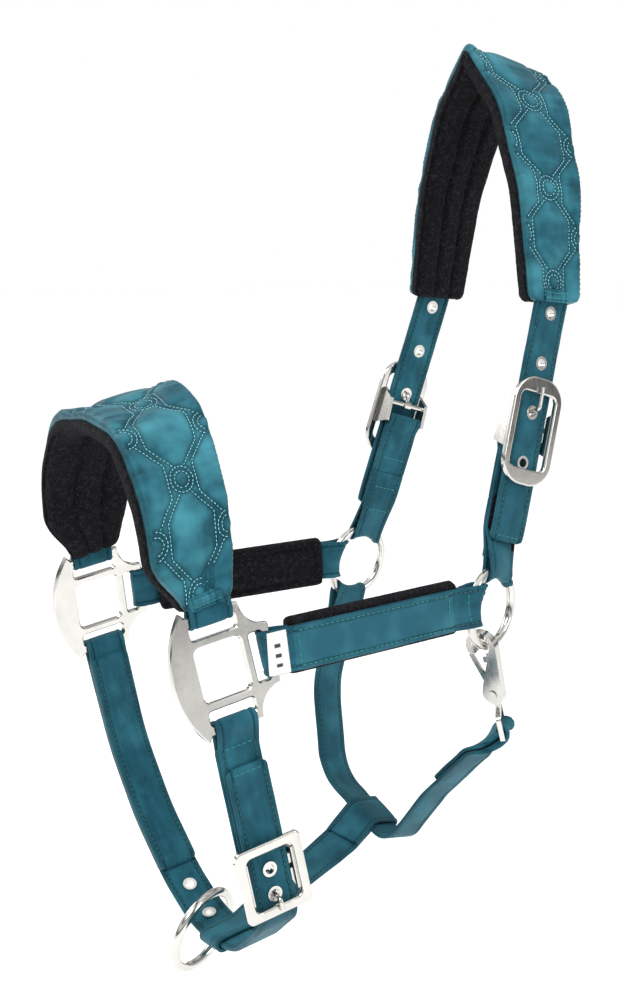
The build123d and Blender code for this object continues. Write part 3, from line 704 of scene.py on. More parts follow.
for side in (1, -1):
    flat, length = cheek_strap(side)
    pad = soft_block(
        f"cheek_fleece_{SIDES[side]}", flat, x0=12.5, x1=length - 10.5, half=16.6, low=-7.5, high=1.2,
        round_ends=4.5, channels=(-0.66, 0.66), material=fleece,
    )
    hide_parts(f"cheek_lining_{SIDES[side]}", f"cheek_padding_{SIDES[side]}")
    # Stitched cover over the middle of the strap
    route = [(14, 3.9), (20, 4.5), (length - 24, 4.5), (length - 17, 3.9)]
    way = rounded(route, (14, 14))
    places = flat.line(way)
    share = smooth((way[:, 0] - 6) / (length - 10))[:, None]
    up_ring = ring_flats[side].y * (1 if ring_flats[side].y.dot(square_flat(side).y) > 0 else -1)
    across = (1 - share) * square_flat(side).y + share * up_ring
    across = -across / np.linalg.norm(across, axis=1)[:, None] * side
    name = f"cheek_cover_{SIDES[side]}"
    cover = Ribbon(name, places, across, thick=1.5, width=WIDTH - 0.4, corners=(1.5, 1.5), crease=0.9)
    cover.build(satin_webbing)
    facing = 1 if cover.out[5].dot(flat.y) > 0 else -1
    cover.edge_rows(bright_seams, start=2.5, end=2.5, inset=2.6, faces=(facing,))
    for at in (2.8, cover.run[-1] - 2.8):
        cover.cross_row(bright_seams, at, face=facing)
    if side == 1:
        along = np.linspace(-2.6, 9.4, 16)
        bend = [0.25 + math.sqrt(4.8 ** 2 - min(x + 0.25, 0) ** 2) - 0.03 * max(x, 0) for x in along]
        line = flat.line(list(zip(along, bend)))
        tag = Ribbon("size_label_cloth", line, -square_flat(1).y, thick=0.5, width=23.6, crease=0.05)
        piece = tag.build(label_cloth)
        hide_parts("size_label")


# ---------------------------------------------------------------- crown and chin straps
def loop_to_buckle(name, flat, start_fold, first, bar_at, across, smile=None, twist=None):
    """Strap folded round a ring or bar at its start and round a buckle's bar at its end."""
    fold = BUCKLE_FOLD
    deep, high = STRAP_BAR_OUT - 0.98, STRAP_BAR_OUT + 0.98
    x, r = start_fold
    route = [(bar_at * 0.638, deep), (first, deep), (x + 2, -r), (x - r, -r), (x - r, r), (x + 2, r)]
    route += [(first, high)]
    route += [(bar_at - 4, high), (bar_at + 1, STRAP_BAR_OUT + fold), (bar_at + fold, STRAP_BAR_OUT + fold)]
    route += [(bar_at + fold, STRAP_BAR_OUT - fold), (bar_at - 1, STRAP_BAR_OUT - fold), (bar_at - 6, deep)]
    route += [(bar_at * 0.645, deep)]
    line = rounded(route, (12, 8, 3.5, 3.5, 8, 12, 6, 6, 2.7, 2.7, 6, 6), step=0.8)
    places = flat.line(line)
    share = smooth((line[:, 0] - x - 4) / 26)[:, None]
    turned = across if twist is None else twist
    widths = (1 - share) * turned + share * across
    widths /= np.linalg.norm(widths, axis=1)[:, None]
    strap = Ribbon(name, places, widths, thick=1.9, smile=smile(places) if smile else None)
    piece = strap.build(webbing)
    return strap, piece, line


def outer_rows(line, low, high):
    """Indexes of the rings of a strap's outer layer between two distances along it."""
    inside = (line[:, 0] > low) & (line[:, 0] < high) & (line[:, 1] > STRAP_BAR_OUT)
    return np.where(inside)[0]


def sew_layer(strap, rows, sewing, inset=3.0, face=1):
    for v in (-WIDTH / 2 + inset, WIDTH / 2 - inset):
        line = np.array([strap.place(i, v, face * strap.thick * 0.42) for i in rows])
        sewing.row(line, face * strap.out[rows])


for side in (1, -1):
    profile = side_profile(side)
    ring = ring_flats[side]
    near = ring.at(0, RING_RADIUS)
    across = profile.z
    twist = ring.x * (1 if ring.x.dot(across) > 0 else -1)
    strap, piece, line = loop_to_buckle(
        f"crown_buckle_strap_{SIDES[side]}_webbing", profile, (RING_RADIUS, RING_FOLD), 46,
        CROWN_STRAP_BAR_AT, across, lambda p: ring_smile(ring, p, near), twist,
    )
    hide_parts(f"crown_buckle_strap_{SIDES[side]}")
    rows = outer_rows(line, 30, CROWN_STRAP_BAR_AT - 4)
    facing = 1 if strap.out[rows[0]].dot(profile.y) > 0 else -1
    sew_layer(strap, rows, seams, face=facing)
    inner = np.where((line[:, 0] > 28) & (line[:, 0] < CROWN_STRAP_BAR_AT - 4) & (line[:, 1] < -5.4))[0]
    for layer in np.split(inner, np.where(np.diff(inner) > 1)[0] + 1):
        for face in (1, -1):
            sew_layer(strap, layer, seams, face=face)
    for at in (36, 55, 75):
        for layer, face in ((rows, facing), (inner, 1), (inner, -1)):
            i = layer[int(np.argmin(abs(line[layer, 0] - at)))]
            strap.cross_row(bright_seams, strap.run[i], face=face)
    # Billet: from inside the crown pad, down through the buckle to its hanging tail
    tail = [(41, 1.6), (48, 2.1), (62, BILLET_OUT), (160, BILLET_OUT)]
    tail += [(186, BILLET_OUT + 0.1), (200, BILLET_OUT + 1)]
    line = rounded(tail, (30, 60, 60, 60))
    billet = Ribbon(f"crown_billet_{SIDES[side]}", profile.line(line), across, thick=3.0, corners=(3, 0))
    facing = 1 if billet.out[0].dot(profile.y) > 0 else -1
    holes = [(profile.at(at, BILLET_OUT), profile.y) for at in CROWN_EYELETS]
    piece = billet.build(webbing, holes)
    if side == 1:
        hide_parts("crown_strap")
    billet.edge_rows(seams, start=3, end=14)
    billet.cross_row(bright_seams, 3.2, face=facing)
    # Dark fleece sheet between the two layers of the buckle strap: it stands for the shade in the gap between
    # them
    filler = [(30, -2.6), (44, -3.2), (CROWN_STRAP_BAR_AT * 0.66, -3.4)]
    places = profile.line(rounded(filler, (20,)))
    ply = Ribbon(f"crown_ply_{SIDES[side]}", places, across, thick=1.6, width=WIDTH - 1.5)
    ply.build(fleece)

# Chin: strap from the right square's bar, under the chin and up through its buckle
right_bar = face_flat.seen(square_flat(-1).at(0, -BAR_OUT))


def on_leg(at, out):
    return face_flat.seen(leg.at(at, out))[:2]


fold = BAR_FOLD
FAR_LEG = (-84, -95)
bar_in = unit(vec(*FAR_LEG) - right_bar[:2])
bar_out = vec(-bar_in[1], bar_in[0])
corners = ((0, -fold), (-fold, -fold), (-fold, fold), (2, fold), (16, 2.2))
turn = [right_bar[:2] + bar_in * a + bar_out * b for a, b in corners]
chin_way = [on_leg(24, BILLET_OUT), on_leg(115, BILLET_OUT), (58, -181), (2, -191)]
chin_way += [(-32, -172), (-62, -140), FAR_LEG]
CHIN_RADII = (17, 60, 60, 60, 80, 90)
chin_line = rounded(chin_way + turn, (*CHIN_RADII, 3.4, 3.4, 3.4, 8))
chin_places = face_flat.line(chin_line)
chin = Ribbon("chin_strap_webbing", chin_places, face_flat.z, thick=2.6, corners=(3, 0))
low_line = face_flat.line(rounded([*chin_way, right_bar[:2]], CHIN_RADII))
low_holes = []
for share in CHIN_LOW_EYELETS:
    centre = low_line[int(round(share * (len(low_line) - 1)))]
    nearest = int(np.argmin(np.linalg.norm(chin_places - centre, axis=1)))
    low_holes.append((centre, chin.out[nearest]))
piece = chin.build(webbing, [(leg.at(at, BILLET_OUT), leg.y) for at in CHIN_EYELETS] + low_holes)
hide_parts("chin_strap")
chin.edge_rows(seams, start=3, end=22)
for face in (1, -1):
    chin.cross_row(bright_seams, 3.2, face=face)

strap, piece, line = loop_to_buckle(
    "chin_buckle_strap_webbing", leg, (0, BAR_FOLD), 22, CHIN_STRAP_BAR_AT, leg.z
)
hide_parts("chin_buckle_strap")
# Folded end of the buckle strap, between its outer layer and the tail of the chin strap
for name, (first, last), out, shift in (("outer", (9.5, 71), -0.6, 0.6), ("inner", (12, 72), -2.6, 1.6)):
    way = rounded([(first, out + 0.5), (first + 16, out), (last, out - 0.2)], (40,))
    places = leg.line(way) + leg.z * shift
    ply = Ribbon(f"chin_ply_{name}", places, leg.z, thick=1.7, corners=(2, 0), crease=0.15)
    ply.build(webbing)
    ply.edge_rows(seams, start=2.5, end=2, faces=(1, -1))
    for face in (1, -1):
        ply.cross_row(bright_seams, 2.8, face=face)
rows = outer_rows(line, 5, CHIN_STRAP_BAR_AT - 4)
facing = 1 if strap.out[rows[0]].dot(leg.y) > 0 else -1
sew_layer(strap, rows, seams, face=facing)
for at in (8, 22):
    i = rows[int(np.argmin(abs(line[rows, 0] - at)))]
    strap.cross_row(seams, strap.run[i], face=facing)

# ---------------------------------------------------------------- throat strap
far_point, eye_point = throat.seen(ring_far), throat.seen(eye_at)
far_ring = ring_flats[-1]
THROAT_KNEE, THROAT_FALL = vec(30, 34), vec(-84, 82)
THROAT_LOOP = ((-63, 22), (4, -7))
eye_run = unit(eye_point[:2] - THROAT_KNEE)
eye_side = vec(-eye_run[1], eye_run[0])
down = unit(THROAT_FALL - far_point[:2])
across_down = vec(-down[1], down[0])


def round_ring(along, out):
    return far_point[:2] + down * along + across_down * out


throat_route = [round_ring(16, -1.2), round_ring(5, -RING_FOLD), round_ring(-RING_FOLD, -RING_FOLD)]
throat_route += [round_ring(-RING_FOLD, RING_FOLD), round_ring(6, RING_FOLD), round_ring(26, 0.6)]
throat_route += [(-84, 80), *THROAT_LOOP, THROAT_KNEE]
throat_route += [eye_point[:2] - eye_run * 20, eye_point[:2] - eye_run * 4 - eye_side * 3.1]
throat_route += [eye_point[:2] + eye_run * 3.4 + eye_side * out for out in (-3.1, 3.1)]
throat_route += [eye_point[:2] - eye_run * 4 + eye_side * 3.1, eye_point[:2] - eye_run * 20 + eye_side * 3.0]
throat_route += [THROAT_KNEE + eye_run * 13 + eye_side * 3.0]
throat_line = rounded(throat_route, (6, 3.6, 3.6, 8, 14, 60, 38, 14, 60, 20, 12, 2.9, 2.9, 12, 20))
throat_places = throat.line(throat_line)
# Near the snap's eye the strap narrows and turns to lie in the eye,
# and near the far ring it turns to the ring
EYE_NARROWING = 8.6
eye_gap = np.linalg.norm(throat_line - eye_point[:2], axis=1)
narrow = WIDTH - EYE_NARROWING * smooth(1 - (eye_gap - 5) / 16)
twist_share = smooth(1 - (eye_gap - 4) / 24)[:, None]
eye_width = eye_across * (1 if eye_across.dot(throat.z) > 0 else -1)
ring_gap = np.linalg.norm(throat_places - ring_far, axis=1)
ring_width = far_ring.x * (1 if far_ring.x.dot(throat.z) > 0 else -1)
ring_share = smooth(1 - (ring_gap - 5) / 34)[:, None]
widths = (1 - twist_share) * throat.z + twist_share * eye_width
widths = (1 - ring_share) * widths + ring_share * ring_width
widths /= np.linalg.norm(widths, axis=1)[:, None]
throat_strap = Ribbon(
    "throat_strap_webbing", throat_places, widths, thick=2.4, width=narrow, corners=(0, 3),
    smile=ring_smile(far_ring, throat_places, ring_far), crease=0.35,
)
piece = throat_strap.build(webbing)
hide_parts("throat_strap")
throat_strap.edge_rows(seams, start=4, end=4)
for face in (1, -1):
    throat_strap.cross_row(seams, throat_strap.run[-1] - 4, face=face)

# ---------------------------------------------------------------- jaw strap
SLEEVE_OUT = 3.3


def sleeve_turn(flat, start, end, share):
    """Middle, run direction and outward direction of a sleeve on a straight run of a route."""
    start, end = vec(*start), vec(*end)
    middle = flat.at(*(start + (end - start) * share))
    run = unit(flat.at(*end) - flat.at(*start))
    return middle, run, np.cross(flat.z, run)


front_at, front_run, front_out = sleeve_turn(face_flat, chin_way[3], chin_way[2], 0.5)
rear_at, rear_run, rear_out = sleeve_turn(throat, *THROAT_LOOP, 0.6)
toward_rear = unit(rear_at - front_at)
half_loop = WIDTH / 2 + 1.9


def sleeve_loop(at, out, flat, toward):
    """Points of a strap's loop round another strap: in on one face, round the edge and back."""
    edge = flat.z * (1 if flat.z.dot(toward) > 0 else -1)
    corners = ((1, 0.6), (1, -1), (-1, -1), (-1, 0.6))
    return [at + out * SLEEVE_OUT * u + edge * half_loop * w for u, w in corners]


front = sleeve_loop(front_at, front_out, face_flat, toward_rear)
rear = sleeve_loop(rear_at, rear_out, throat, -toward_rear)
meet_front = front_at + toward_rear * 30
meet_rear = rear_at - toward_rear * 32
jaw_route = [meet_front + front_out * 1.2, *front, meet_front - front_out * 1.2]
opposed = rear_out.dot(front_out) < 0
rear_step = rear_out * 1.2 * (1 if opposed else -1)
jaw_route += [meet_rear + rear_step, *(rear if opposed else rear[::-1]), meet_rear - rear_step]
jaw_line = rounded(jaw_route, (14, 3.4, 3.4, 14, 40, 40, 14, 3.4, 3.4, 14))
away_front = np.linalg.norm(jaw_line - front_at, axis=1)
share = smooth(away_front / np.linalg.norm(rear_at - front_at))[:, None]
jaw_across = (1 - share) * front_run + share * rear_run * (1 if rear_run.dot(front_run) > 0 else -1)
jaw_across /= np.linalg.norm(jaw_across, axis=1)[:, None]
jaw = Ribbon("jaw_strap_webbing", jaw_line, jaw_across, thick=2.0, crease=0.25)
piece = jaw.build(webbing)
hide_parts("jaw_strap")
jaw.edge_rows(seams, start=3, end=3)


# ---------------------------------------------------------------- quilted pads
COLUMN = 24.5
CELL_HALF, CELL_FLAT = 15.2, 9.3
MEDALLION, INNER_RING = 7.4, 4.7
PAD_DEEP = 13.5


def quilt_lines(long, wide, cell_long, first, middle):
    """Stitch lines on a flat cloth: long cells in staggered columns with double rings between them."""
    lines, centres = [], []
    for column in range(-2, 3):
        for row in range(-1, int(long / cell_long) + 2):
            u = long / 2 - first - (row + 0.5 * (column % 2)) * cell_long
            centres.append((u, middle + column * COLUMN))
    for u, v in centres:
        for radius in (MEDALLION, INNER_RING):
            a = np.linspace(0, 2 * math.pi, 33)
            lines.append(np.stack([u + radius * np.cos(a), v + radius * np.sin(a)], axis=1))
        top = cell_long / 2 - 3.2
        cell = [(-top, 0), (-CELL_FLAT, CELL_HALF), (CELL_FLAT, CELL_HALF), (top, 0)]
        cell += [(CELL_FLAT, -CELL_HALF), (-CELL_FLAT, -CELL_HALF), (-top, 0)]
        cell = np.array(cell, float) + (u + cell_long / 2, v)
        lines.append(spaced(cell, step=0.8))
    clipped = []
    for line in lines:
        near = np.ones(len(line), bool)
        if len(line) > 40:
            for u, v in centres:
                near &= np.hypot(line[:, 0] - u, line[:, 1] - v) > MEDALLION + 0.8
        inside = near & (abs(line[:, 0]) < long / 2 - 2.5) & (abs(line[:, 1]) < wide / 2 - 2.2)
        start = None
        for i, good in enumerate(list(inside) + [False]):
            if good and start is None:
                start = i
            elif not good and start is not None:
                if i - start > 3:
                    clipped.append(line[start:i])
                start = None
    return clipped


def far_from(lines, places):
    """Distance of each place to the nearest line."""
    dots = np.concatenate([spaced(line, step=1.0) for line in lines])
    best = np.full(len(places), 99.0)
    for start in range(0, len(dots), 400):
        some = dots[start:start + 400]
        gap = np.hypot(places[:, None, 0] - some[None, :, 0], places[:, None, 1] - some[None, :, 1])
        best = np.minimum(best, gap.min(axis=1))
    return best


def along_line(points, places):
    """Points of a line at places counted in its own steps."""
    at = np.arange(len(points))
    return np.stack([np.interp(places, at, points[:, k]) for k in range(3)], axis=1)


class Pad:
    """Padded arch between a front and a back edge, with a satin cover and a fleece lining.

    The trim holds how much narrower the front and the back get towards each end, over what length,
    and how far off the middle the end tabs sit.
    """

    PUFF, PUFF_REACH = 3.0, 2.4
    ROLL, CORNER = 3.4, 5.0
    COVER_MESH, LINING_MESH = (1.0, 0.95), (1.3, 1.2)
    UNDER_DEEP, UNDER_POINTS = 4.6, 9
    # The lining spills out past the ends and the edges of the cover, and has grooves along its channels
    END_SPILL, EDGE_SPILL, LINING_ROLL = 0.4, 0.7, 4.5
    CHANNELS, GROOVE_DEEP, GROOVE_REACH = (0.34, 0.67), 2.6, 1.7

    def __init__(self, name, front, back, front_y, back_y, radii, cell_long, first, middle, trim, seed):
        self.name, self.seed, self.trim = name, seed, trim
        self.tab_shift = trim[3]
        self.front = self.edge(front, front_y, radii[0])
        self.back = self.edge(back, back_y, radii[1])
        middle_line = (self.front + self.back) / 2
        self.long = lengths(middle_line)[-1]
        self.wide = float(np.mean(np.linalg.norm(self.front - self.back, axis=1)))
        self.lines = quilt_lines(self.long, self.wide, cell_long, first, middle)

    def edge(self, outline, at_y, radii, count=361):
        half = [vec(x, 0, z) for x, z in outline]
        top, low = outline[0][1], outline[-1][1]
        points = [p * vec(-1, 1, 1) for p in half[:0:-1]] + half
        line = rounded(points, list(radii[:0:-1]) + list(radii), step=0.5)
        line[:, 1] = at_y[0] + (at_y[1] - at_y[0]) * (line[:, 2] - top) / (low - top)
        return spaced(line, count=count)

    def skin(self, u, v):
        """Points and outward normals of the flat outer skin at cloth places u, v."""
        last = len(self.front) - 1
        s = np.clip((u / self.long + 0.5) * last, 0, last)
        t = (v / self.wide + 0.5)[:, None]
        front, back = along_line(self.front, s), along_line(self.back, s)
        ahead, behind = np.clip(s + 1.5, 0, last), np.clip(s - 1.5, 0, last)
        along = sum(along_line(e, ahead) - along_line(e, behind) for e in (self.front, self.back))
        normal = np.cross(along, back - front)
        normal /= np.linalg.norm(normal, axis=1)[:, None]
        return front + (back - front) * t, normal

    def limits(self, u):
        """How far the pad reaches at each place along it, towards the front and the back."""
        gap = self.long / 2 - abs(u)
        low = -self.wide / 2 + self.trim[0] * smooth(1 - gap / self.trim[2]) ** 1.3
        high = self.wide / 2 - self.trim[1] * smooth(1 - gap / self.trim[2]) ** 1.3
        cut = round_off(gap, self.CORNER)
        return low + cut, high - cut

    def seam_gap(self, u, v):
        """Distance of each cloth place to the nearest quilting line, worked out once on a fine grid."""
        if not hasattr(self, "gaps"):
            grid_u = np.linspace(-self.long / 2, self.long / 2, int(self.long / 0.8))
            grid_v = np.linspace(-self.wide / 2 - 2, self.wide / 2 + 2, int(self.wide / 0.8))
            places = np.stack(np.meshgrid(grid_u, grid_v, indexing="ij"), axis=-1).reshape(-1, 2)
            self.gaps = far_from(self.lines, places).reshape(len(grid_u), len(grid_v))
            self.grid = grid_u, grid_v
        row = np.clip(np.interp(u, self.grid[0], np.arange(len(self.grid[0]))), 0, len(self.grid[0]) - 1.001)
        col = np.clip(np.interp(v, self.grid[1], np.arange(len(self.grid[1]))), 0, len(self.grid[1]) - 1.001)
        i, j, a, b = row.astype(int), col.astype(int), row % 1, col % 1
        g = self.gaps
        near = g[i, j] * (1 - a) + g[i + 1, j] * a
        far = g[i, j + 1] * (1 - a) + g[i + 1, j + 1] * a
        return near * (1 - b) + far * b

    def rim(self, u, v):
        low, high = self.limits(u)
        return np.minimum(np.minimum(v - low, high - v), self.long / 2 - abs(u))

    def folds(self, u, v):
        """Soft folds across the pad, and short gathers that run in from its edges."""
        wide = ripple(np.stack([u / 6.5, v / 30, u * 0], axis=1), 1.0, self.seed) * 0.75
        wide = wide + ripple(np.stack([u / 17, v / 12, u * 0], axis=1), 1.0, self.seed + 7) * 0.6
        pull = ripple(np.stack([u / 2.4, v / 15, u * 0], axis=1), 1.0, self.seed + 3) * 1.1
        pull = pull * np.exp(-np.clip(self.rim(u, v), 0, 40) / 6.5)
        return wide, pull

    def height(self, u, v):
        """Rise of the quilted cover over its flat skin."""
        rim = self.rim(u, v)
        edge = round_off(rim, self.ROLL)
        puff = self.PUFF * (1 - np.exp(-self.seam_gap(u, v) / self.PUFF_REACH))
        wide, pull = self.folds(u, v)
        return puff + (wide + pull) * smooth(rim / 3) - edge

    def cover(self, material):
        columns, rows = int(self.long / self.COVER_MESH[0]), int(self.wide / self.COVER_MESH[1])
        us = np.linspace(-self.long / 2, self.long / 2, columns + 1)
        low, high = self.limits(us)
        share = (1 - np.cos(np.linspace(0, math.pi, rows + 1))) / 2
        share = 0.25 * share + 0.75 * np.linspace(0, 1, rows + 1)
        u = np.repeat(us, rows + 1)
        v = (low[:, None] + (high - low)[:, None] * share[None]).ravel()
        places, normals = self.skin(u, v)
        top = places + normals * self.height(u, v)[:, None]
        wide, pull = self.folds(u, v)
        # Painted shade: darkest along the quilting lines, in the troughs of the folds and at the rim, and
        # none on the underside
        drawn = 1.05 * np.exp(-(self.seam_gap(u, v) / 1.5) ** 2) + np.clip(-0.42 * (wide + pull), 0, 0.6)
        drawn = np.clip(drawn + 0.5 * np.exp(-self.rim(u, v) / 0.8), 0, 1)
        below = self.UNDER_POINTS
        under_share = np.linspace(0.99, 0.01, below)
        uu = np.repeat(us, below)
        vv = (low[:, None] + (high - low)[:, None] * under_share[None]).ravel()
        places, normals = self.skin(uu, vv)
        bottom = places - normals * self.UNDER_DEEP

        def rings(over, under):
            """Rows of the top and of the underside joined into rings."""
            over, under = over.reshape(columns + 1, rows + 1, -1), under.reshape(columns + 1, below, -1)
            joined = np.concatenate([over, under], axis=1)
            return joined.reshape(-1, joined.shape[-1])

        points = rings(top, bottom)
        uvs = rings(np.stack([u, v], axis=1), np.stack([uu, vv], axis=1))
        drawn = rings(drawn, np.zeros(len(uu)))[:, 0]
        faces = tube_faces(columns + 1, rows + 1 + below)
        return make_mesh(f"{self.name}_pad_satin", points, faces, material, uvs, drawn)

    def tab(self, side, material, back, reach=10.5):
        """Gathered tab across a pad's end, where the strap comes out from under the cover."""
        u = np.full(23, side * (self.long / 2 - back))
        v = np.linspace(-reach, reach, 23) + self.tab_shift
        places, normals = self.skin(u, v)
        points = places + normals * (self.height(u, v) + 0.5)[:, None]
        along = unit(points[-1] - points[0])
        across = np.cross(normals, along)
        strap = Ribbon(f"{self.name}_pad_tab_{SIDES[side]}", points, across, thick=3.4, width=7.5, crease=1.5)
        piece = strap.build(material)
        facing = 1 if strap.out[5].dot(normals[5]) > 0 else -1
        for offset in (-1.6, 1.2):
            line = np.array([strap.place(i, offset, facing * 1.9) for i in range(len(points))])
            bright_seams.row(line, facing * strap.out, stitch=1.8, gap=0.6, thread=0.3)

    def lining(self, material):
        """Fleece that makes the pad's inner face and its edges, with two channels along it."""
        columns, rows = int(self.long / self.LINING_MESH[0]), int(self.wide / self.LINING_MESH[1])
        end = self.long / 2 + self.END_SPILL
        us = np.linspace(-end, end, columns + 1)
        section = [(0.0, 3.0), (-0.012, 5.0), (-0.016, 7.5), (-0.012, 9.6)]
        inner = np.linspace(0, 1, rows + 1)
        points, uvs = [], []
        for u in us:
            low, high = (float(x[0]) for x in self.limits(np.array([u])))
            fat = 0.55 + 0.45 * dome(end - abs(u), 5)
            t = [a for a, _ in section] + list(inner) + [1 - a for a, _ in section[::-1]] + [0.8, 0.5, 0.2]
            first, last = low - self.EDGE_SPILL, high + self.EDGE_SPILL
            v = np.array([first + (last - first) * a for a in t])
            round_in = round_off(np.minimum(v - first, last - v), self.LINING_ROLL)
            off = [(v - low - (high - low) * c) / self.GROOVE_REACH for c in self.CHANNELS]
            groove = sum(self.GROOVE_DEEP * np.exp(-x ** 2) for x in off)
            deep = (PAD_DEEP - 0.6 - round_in * 0.9 - groove) * fat
            for k, (_, d) in enumerate(section):
                deep[k] = deep[len(section) * 2 + rows - k] = d * (0.8 + 0.2 * fat)
            deep[-3:] = 3.2
            place, normal = self.skin(np.full(len(v), u), v)
            points.append(place - normal * deep[:, None])
            uvs.append(np.stack([np.full(len(v), u), v], axis=1))
        around = len(points[0])
        points = np.concatenate(points)
        fuzz = ripple(points, 1.7, 5.0) * 0.3 + ripple(points, 9.0, 2.0) * 0.45
        _, normals = self.skin(np.concatenate(uvs)[:, 0], np.concatenate(uvs)[:, 1])
        points = points - normals * fuzz[:, None]
        return make_mesh(
            f"{self.name}_pad_fleece", points, tube_faces(columns + 1, around), material, np.concatenate(uvs)
        )

    def sew(self):
        sewing = Sewing()
        for line in self.lines:
            line = spaced(line, step=0.9)
            low, high = self.limits(line[:, 0])
            inside = (line[:, 1] > low + 2) & (line[:, 1] < high - 2)
            if inside.sum() < 5 or inside.mean() < 0.25:
                continue
            line = line[inside]
            places, normals = self.skin(line[:, 0], line[:, 1])
            top = self.height(line[:, 0], line[:, 1]) + 0.16
            sewing.row(places + normals * top[:, None], normals, stitch=1.5, gap=0.75, thread=0.26)
        edging = Sewing()
        us = np.linspace(-self.long / 2 + 4, self.long / 2 - 4, int(self.long / 1.2))
        for pick, inset in ((0, 1.3), (1, -1.3)):
            v = self.limits(us)[pick] + inset
            places, normals = self.skin(us, v)
            places = places + normals * (self.height(us, v) + 0.1)[:, None]
            edging.row(places, normals, stitch=1.4, gap=1.6, thread=0.2)
        sewing.make(f"{self.name}_pad_quilting", quilt_thread, "teal_satin")
        edging.make(f"{self.name}_pad_edging", seam_thread, "teal_satin")


pads = (
    Pad(
        "crown",
        front=((0, 17), (33, -20), (53, -72), (64, -139)), front_y=(-27, -23),
        back=((0, 10), (35, -22), (55, -72), (64, -142)), back_y=(28, 14),
        radii=((5, 34, 60), (34, 34, 60)),
        cell_long=57.0, first=11.5, middle=-1.5, trim=(0.0, 0.0, 10.0, 0.0), seed=1.0,
    ),
    Pad(
        "nose",
        front=((0, -199), (48, -204), (77, -241), (83, -300)), front_y=(-286, -279),
        back=((0, -180), (38, -196), (70, -243), (83, -288)), back_y=(-228, -234),
        radii=((60, 38, 60), (60, 38, 60)),
        cell_long=61.0, first=8.0, middle=1.0, trim=(17.0, 3.0, 34.0, 4.0), seed=11.0,
    ),
)
for pad in pads:
    cover = pad.cover(satin)
    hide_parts(f"{pad.name}_pad_cover", f"{pad.name}_pad_foam")
    lining = pad.lining(fleece)
    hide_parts(f"{pad.name}_pad_lining")
    for piece in (cover, lining):
        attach(piece, "halter")
    pad.sew()
    for side in (1, -1):
        pad.tab(side, satin, back=3.5)

# Nose strap ends: out of the pad and round the top bar of each square
for side in (1, -1):
    plate = square_flat(side)
    bar_at = plate.at(0, BAR_OUT)
    up = unit(mirrored(vec(80.5, -252, -262), side) - bar_at)
    flat = Flat(bar_at, up, np.cross(up, vec(side, 0, 0)))
    route = [(26, -2.6), (12, 0.6), (1.5, BAR_FOLD), (-BAR_FOLD, BAR_FOLD)]
    route += [(-BAR_FOLD, -BAR_FOLD), (1.5, -BAR_FOLD), (9, -2.2), (20, -0.6)]
    places = flat.line(rounded(route, (14, 6, 3.4, 3.4, 6, 14), step=0.8))
    strap = Ribbon(f"nose_strap_{SIDES[side]}_end", places, plate.x, thick=PLY, crease=0.1)
    facing = 1 if strap.out[0].dot(flat.y) > 0 else -1
    piece = strap.build(webbing)
    if side == 1:
        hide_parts("nose_strap")
    rows = np.where(strap.run < 24)[0]
    sew_layer(strap, rows, seams, face=facing)


def chin_pad():
    """Padded cover of the chin strap's far leg, on its inner face."""
    before, first, last = (vec(*p) for p in chin_way[4:7])
    start = before + (first - before) * 0.1
    end = last + (right_bar[:2] - last) * 0.9
    line = rounded([start, first, last, end], CHIN_RADII[4:], step=1.2)
    along = np.gradient(line, axis=0)
    along /= np.linalg.norm(along, axis=1)[:, None]
    inward = np.stack([along[:, 1], -along[:, 0]], axis=1)
    run = lengths(line)
    half, low, high, edge = 13.2, 1.4, 6.8, 4
    rows, under_points = 26, 6
    points, uvs = [], []
    for i, (p, n) in enumerate(zip(line, inward)):
        gap = min(run[i], run[-1] - run[i])
        reach = half - round_off(gap, edge)
        fat = 0.4 + 0.6 * dome(gap, 5)
        for j in range(rows + 1):
            v = reach * (2 * j / rows - 1)
            rim = dome(reach - abs(v), edge)
            seam = 1.5 * math.exp(-((abs(v) - reach + 3.7) / 1.0) ** 2)
            gather = 0.35 + 1.1 * float(smooth((run[-1] * 0.75 - run[i]) / 60))
            crease = gather * noise.noise(Vector((run[i] / 3.6, v / 34, 4)))
            crease *= rim * float(smooth((8.8 - abs(v)) / 2.5))
            rise = low + (high - low) * fat * rim - seam * fat + crease
            points.append(face_flat.at(*(p + n * rise), v))
            uvs.append((run[i], v))
        for v in np.linspace(reach, -reach, under_points + 2)[1:-1]:
            points.append(face_flat.at(*(p + n * low), v))
            uvs.append((run[i], v))
    faces = tube_faces(len(line), rows + 1 + under_points)
    piece = make_mesh("chin_pad_cover", points, faces, lined_webbing, uvs)
    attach(piece, "halter")
    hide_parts("chin_pad")
    middle = (run > 5) & (run < run[-1] - 5)
    for v in (-SEAM_AT, SEAM_AT):
        rise = low + (high - low) - 1.15
        row = np.array([face_flat.at(*(p + n * rise), v) for p, n in zip(line[middle], inward[middle])])
        up = np.array([face_flat.at(*n) - face_flat.origin for n in inward[middle]])
        seams.row(row, up)


chin_pad()
seams.make("strap_stitching", seam_thread, "teal_webbing")
bright_seams.make("bar_tacks", bright_thread, "teal_webbing")

# ---------------------------------------------------------------- metal
METAL_SLOTS = {"polished_steel": chrome, "nickel_eyelet": nickel}
slots = {s["node"]: s["material_slot"] for s in frame["record"]["subparts"]}
for node, obj in frame["nodes"].items():
    if slots.get(node) in METAL_SLOTS:
        obj.data.materials.clear()
        obj.data.materials.append(METAL_SLOTS[slots[node]])

# ---------------------------------------------------------------- floor, light and camera
CAMERA_AZIMUTH, CAMERA_RISE, CAMERA_AWAY, LENS = 59.13, 10.16, 0.860, 49.93
LOOK_AT = vec(-0.0101, -0.133, -0.262)
FLOOR_DROP = 0.16
FLOOR_SIZE = 40

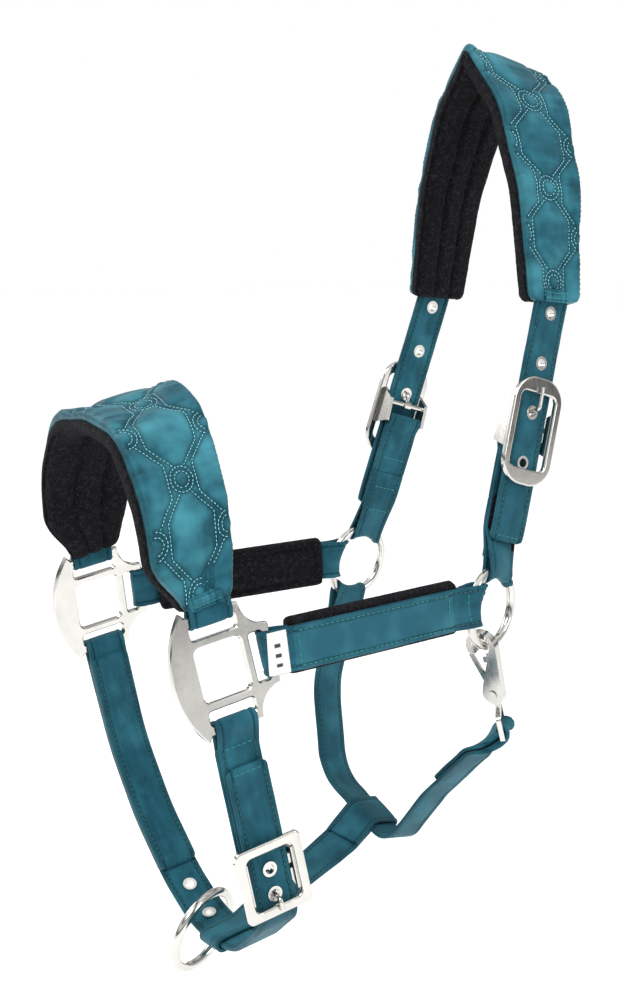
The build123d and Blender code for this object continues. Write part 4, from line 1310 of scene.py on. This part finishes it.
floor_z = cad_bounds[0][2] - FLOOR_DROP
finish = Finish("pale_floor", Roughness=0.9, Specular_IOR_Level=0.0, Emission_Strength=0.29)
finish.shader.inputs["Emission Color"].default_value = rgba(1, 1, 1)
cloud = finish.speckle(finish.body(), 1.2)
finish.feed(Base_Color=finish.blend(cloud, rgba(0.93, 0.93, 0.93), rgba(0.95, 0.95, 0.95)))
bpy.ops.mesh.primitive_plane_add(size=FLOOR_SIZE, location=(0, 0, floor_z))
floor = bpy.context.object
floor.name = "floor"
floor.data.materials.append(finish.material)


def area_light(name, place, size, power, aim=(0, -0.13, -0.27), colour=(1, 1, 1)):
    data = bpy.data.lights.new(name, "AREA")
    data.shape, data.size, data.size_y, data.energy, data.color = "RECTANGLE", size[0], size[1], power, colour
    lamp = bpy.data.objects.new(name, data)
    lamp.location = place
    lamp.rotation_euler = (Vector(aim) - Vector(place)).to_track_quat("-Z", "Y").to_euler()
    bpy.context.scene.collection.objects.link(lamp)


area_light("key_softbox", place=(0.8, -1.3, 1.3), size=(0.8, 0.8), power=26)
area_light("side_softbox", place=(1.7, 0.7, 0.4), size=(0.5, 1.2), power=9)
area_light("far_softbox", place=(-1.4, -0.9, 0.7), size=(0.8, 1.0), power=8)

# Seen straight on, the room is plain white. In reflections and as fill it has dark bands between its
# lamps: each band is a height from 0, straight down, to 1, straight up, and its brightness.
BANDS = (
    (0.0, 0.5), (0.42, 0.6), (0.47, 0.08), (0.54, 0.06), (0.60, 0.7),
    (0.68, 0.9), (0.74, 0.12), (0.84, 0.7), (1.0, 1.2),
)
world = bpy.data.worlds.new("studio")
bpy.context.scene.world = world
room = Nodes(world)
seen_straight = room.node("ShaderNodeLightPath")
rise = room.node("ShaderNodeSeparateXYZ", {}, {0: room.node("ShaderNodeTexCoord")}, out=2)
stops = [(at, rgba(shade, shade, shade)) for at, shade in BANDS]
banded = room.node("ShaderNodeValToRGB", {"stops": stops}, {0: rise * 0.5 + 0.5})
background = room.tree.nodes["Background"]
room.tree.links.new(room.blend(seen_straight, banded, rgba(1, 1, 1)).socket, background.inputs[0])
background.inputs[1].default_value = 1.0

a, e = math.radians(CAMERA_AZIMUTH), math.radians(CAMERA_RISE)
back = vec(math.sin(a) * math.cos(e), -math.cos(a) * math.cos(e), math.sin(e))
data = bpy.data.cameras.new("camera")
data.lens, data.sensor_width, data.clip_end = LENS, 36.0, 60
camera = bpy.data.objects.new("camera", data)
camera.location = LOOK_AT + back * CAMERA_AWAY
camera.rotation_euler = Vector(-back).to_track_quat("-Z", "Y").to_euler()
bpy.context.scene.collection.objects.link(camera)
bpy.context.scene.camera = camera
bpy.context.scene.view_settings.view_transform = "Standard"
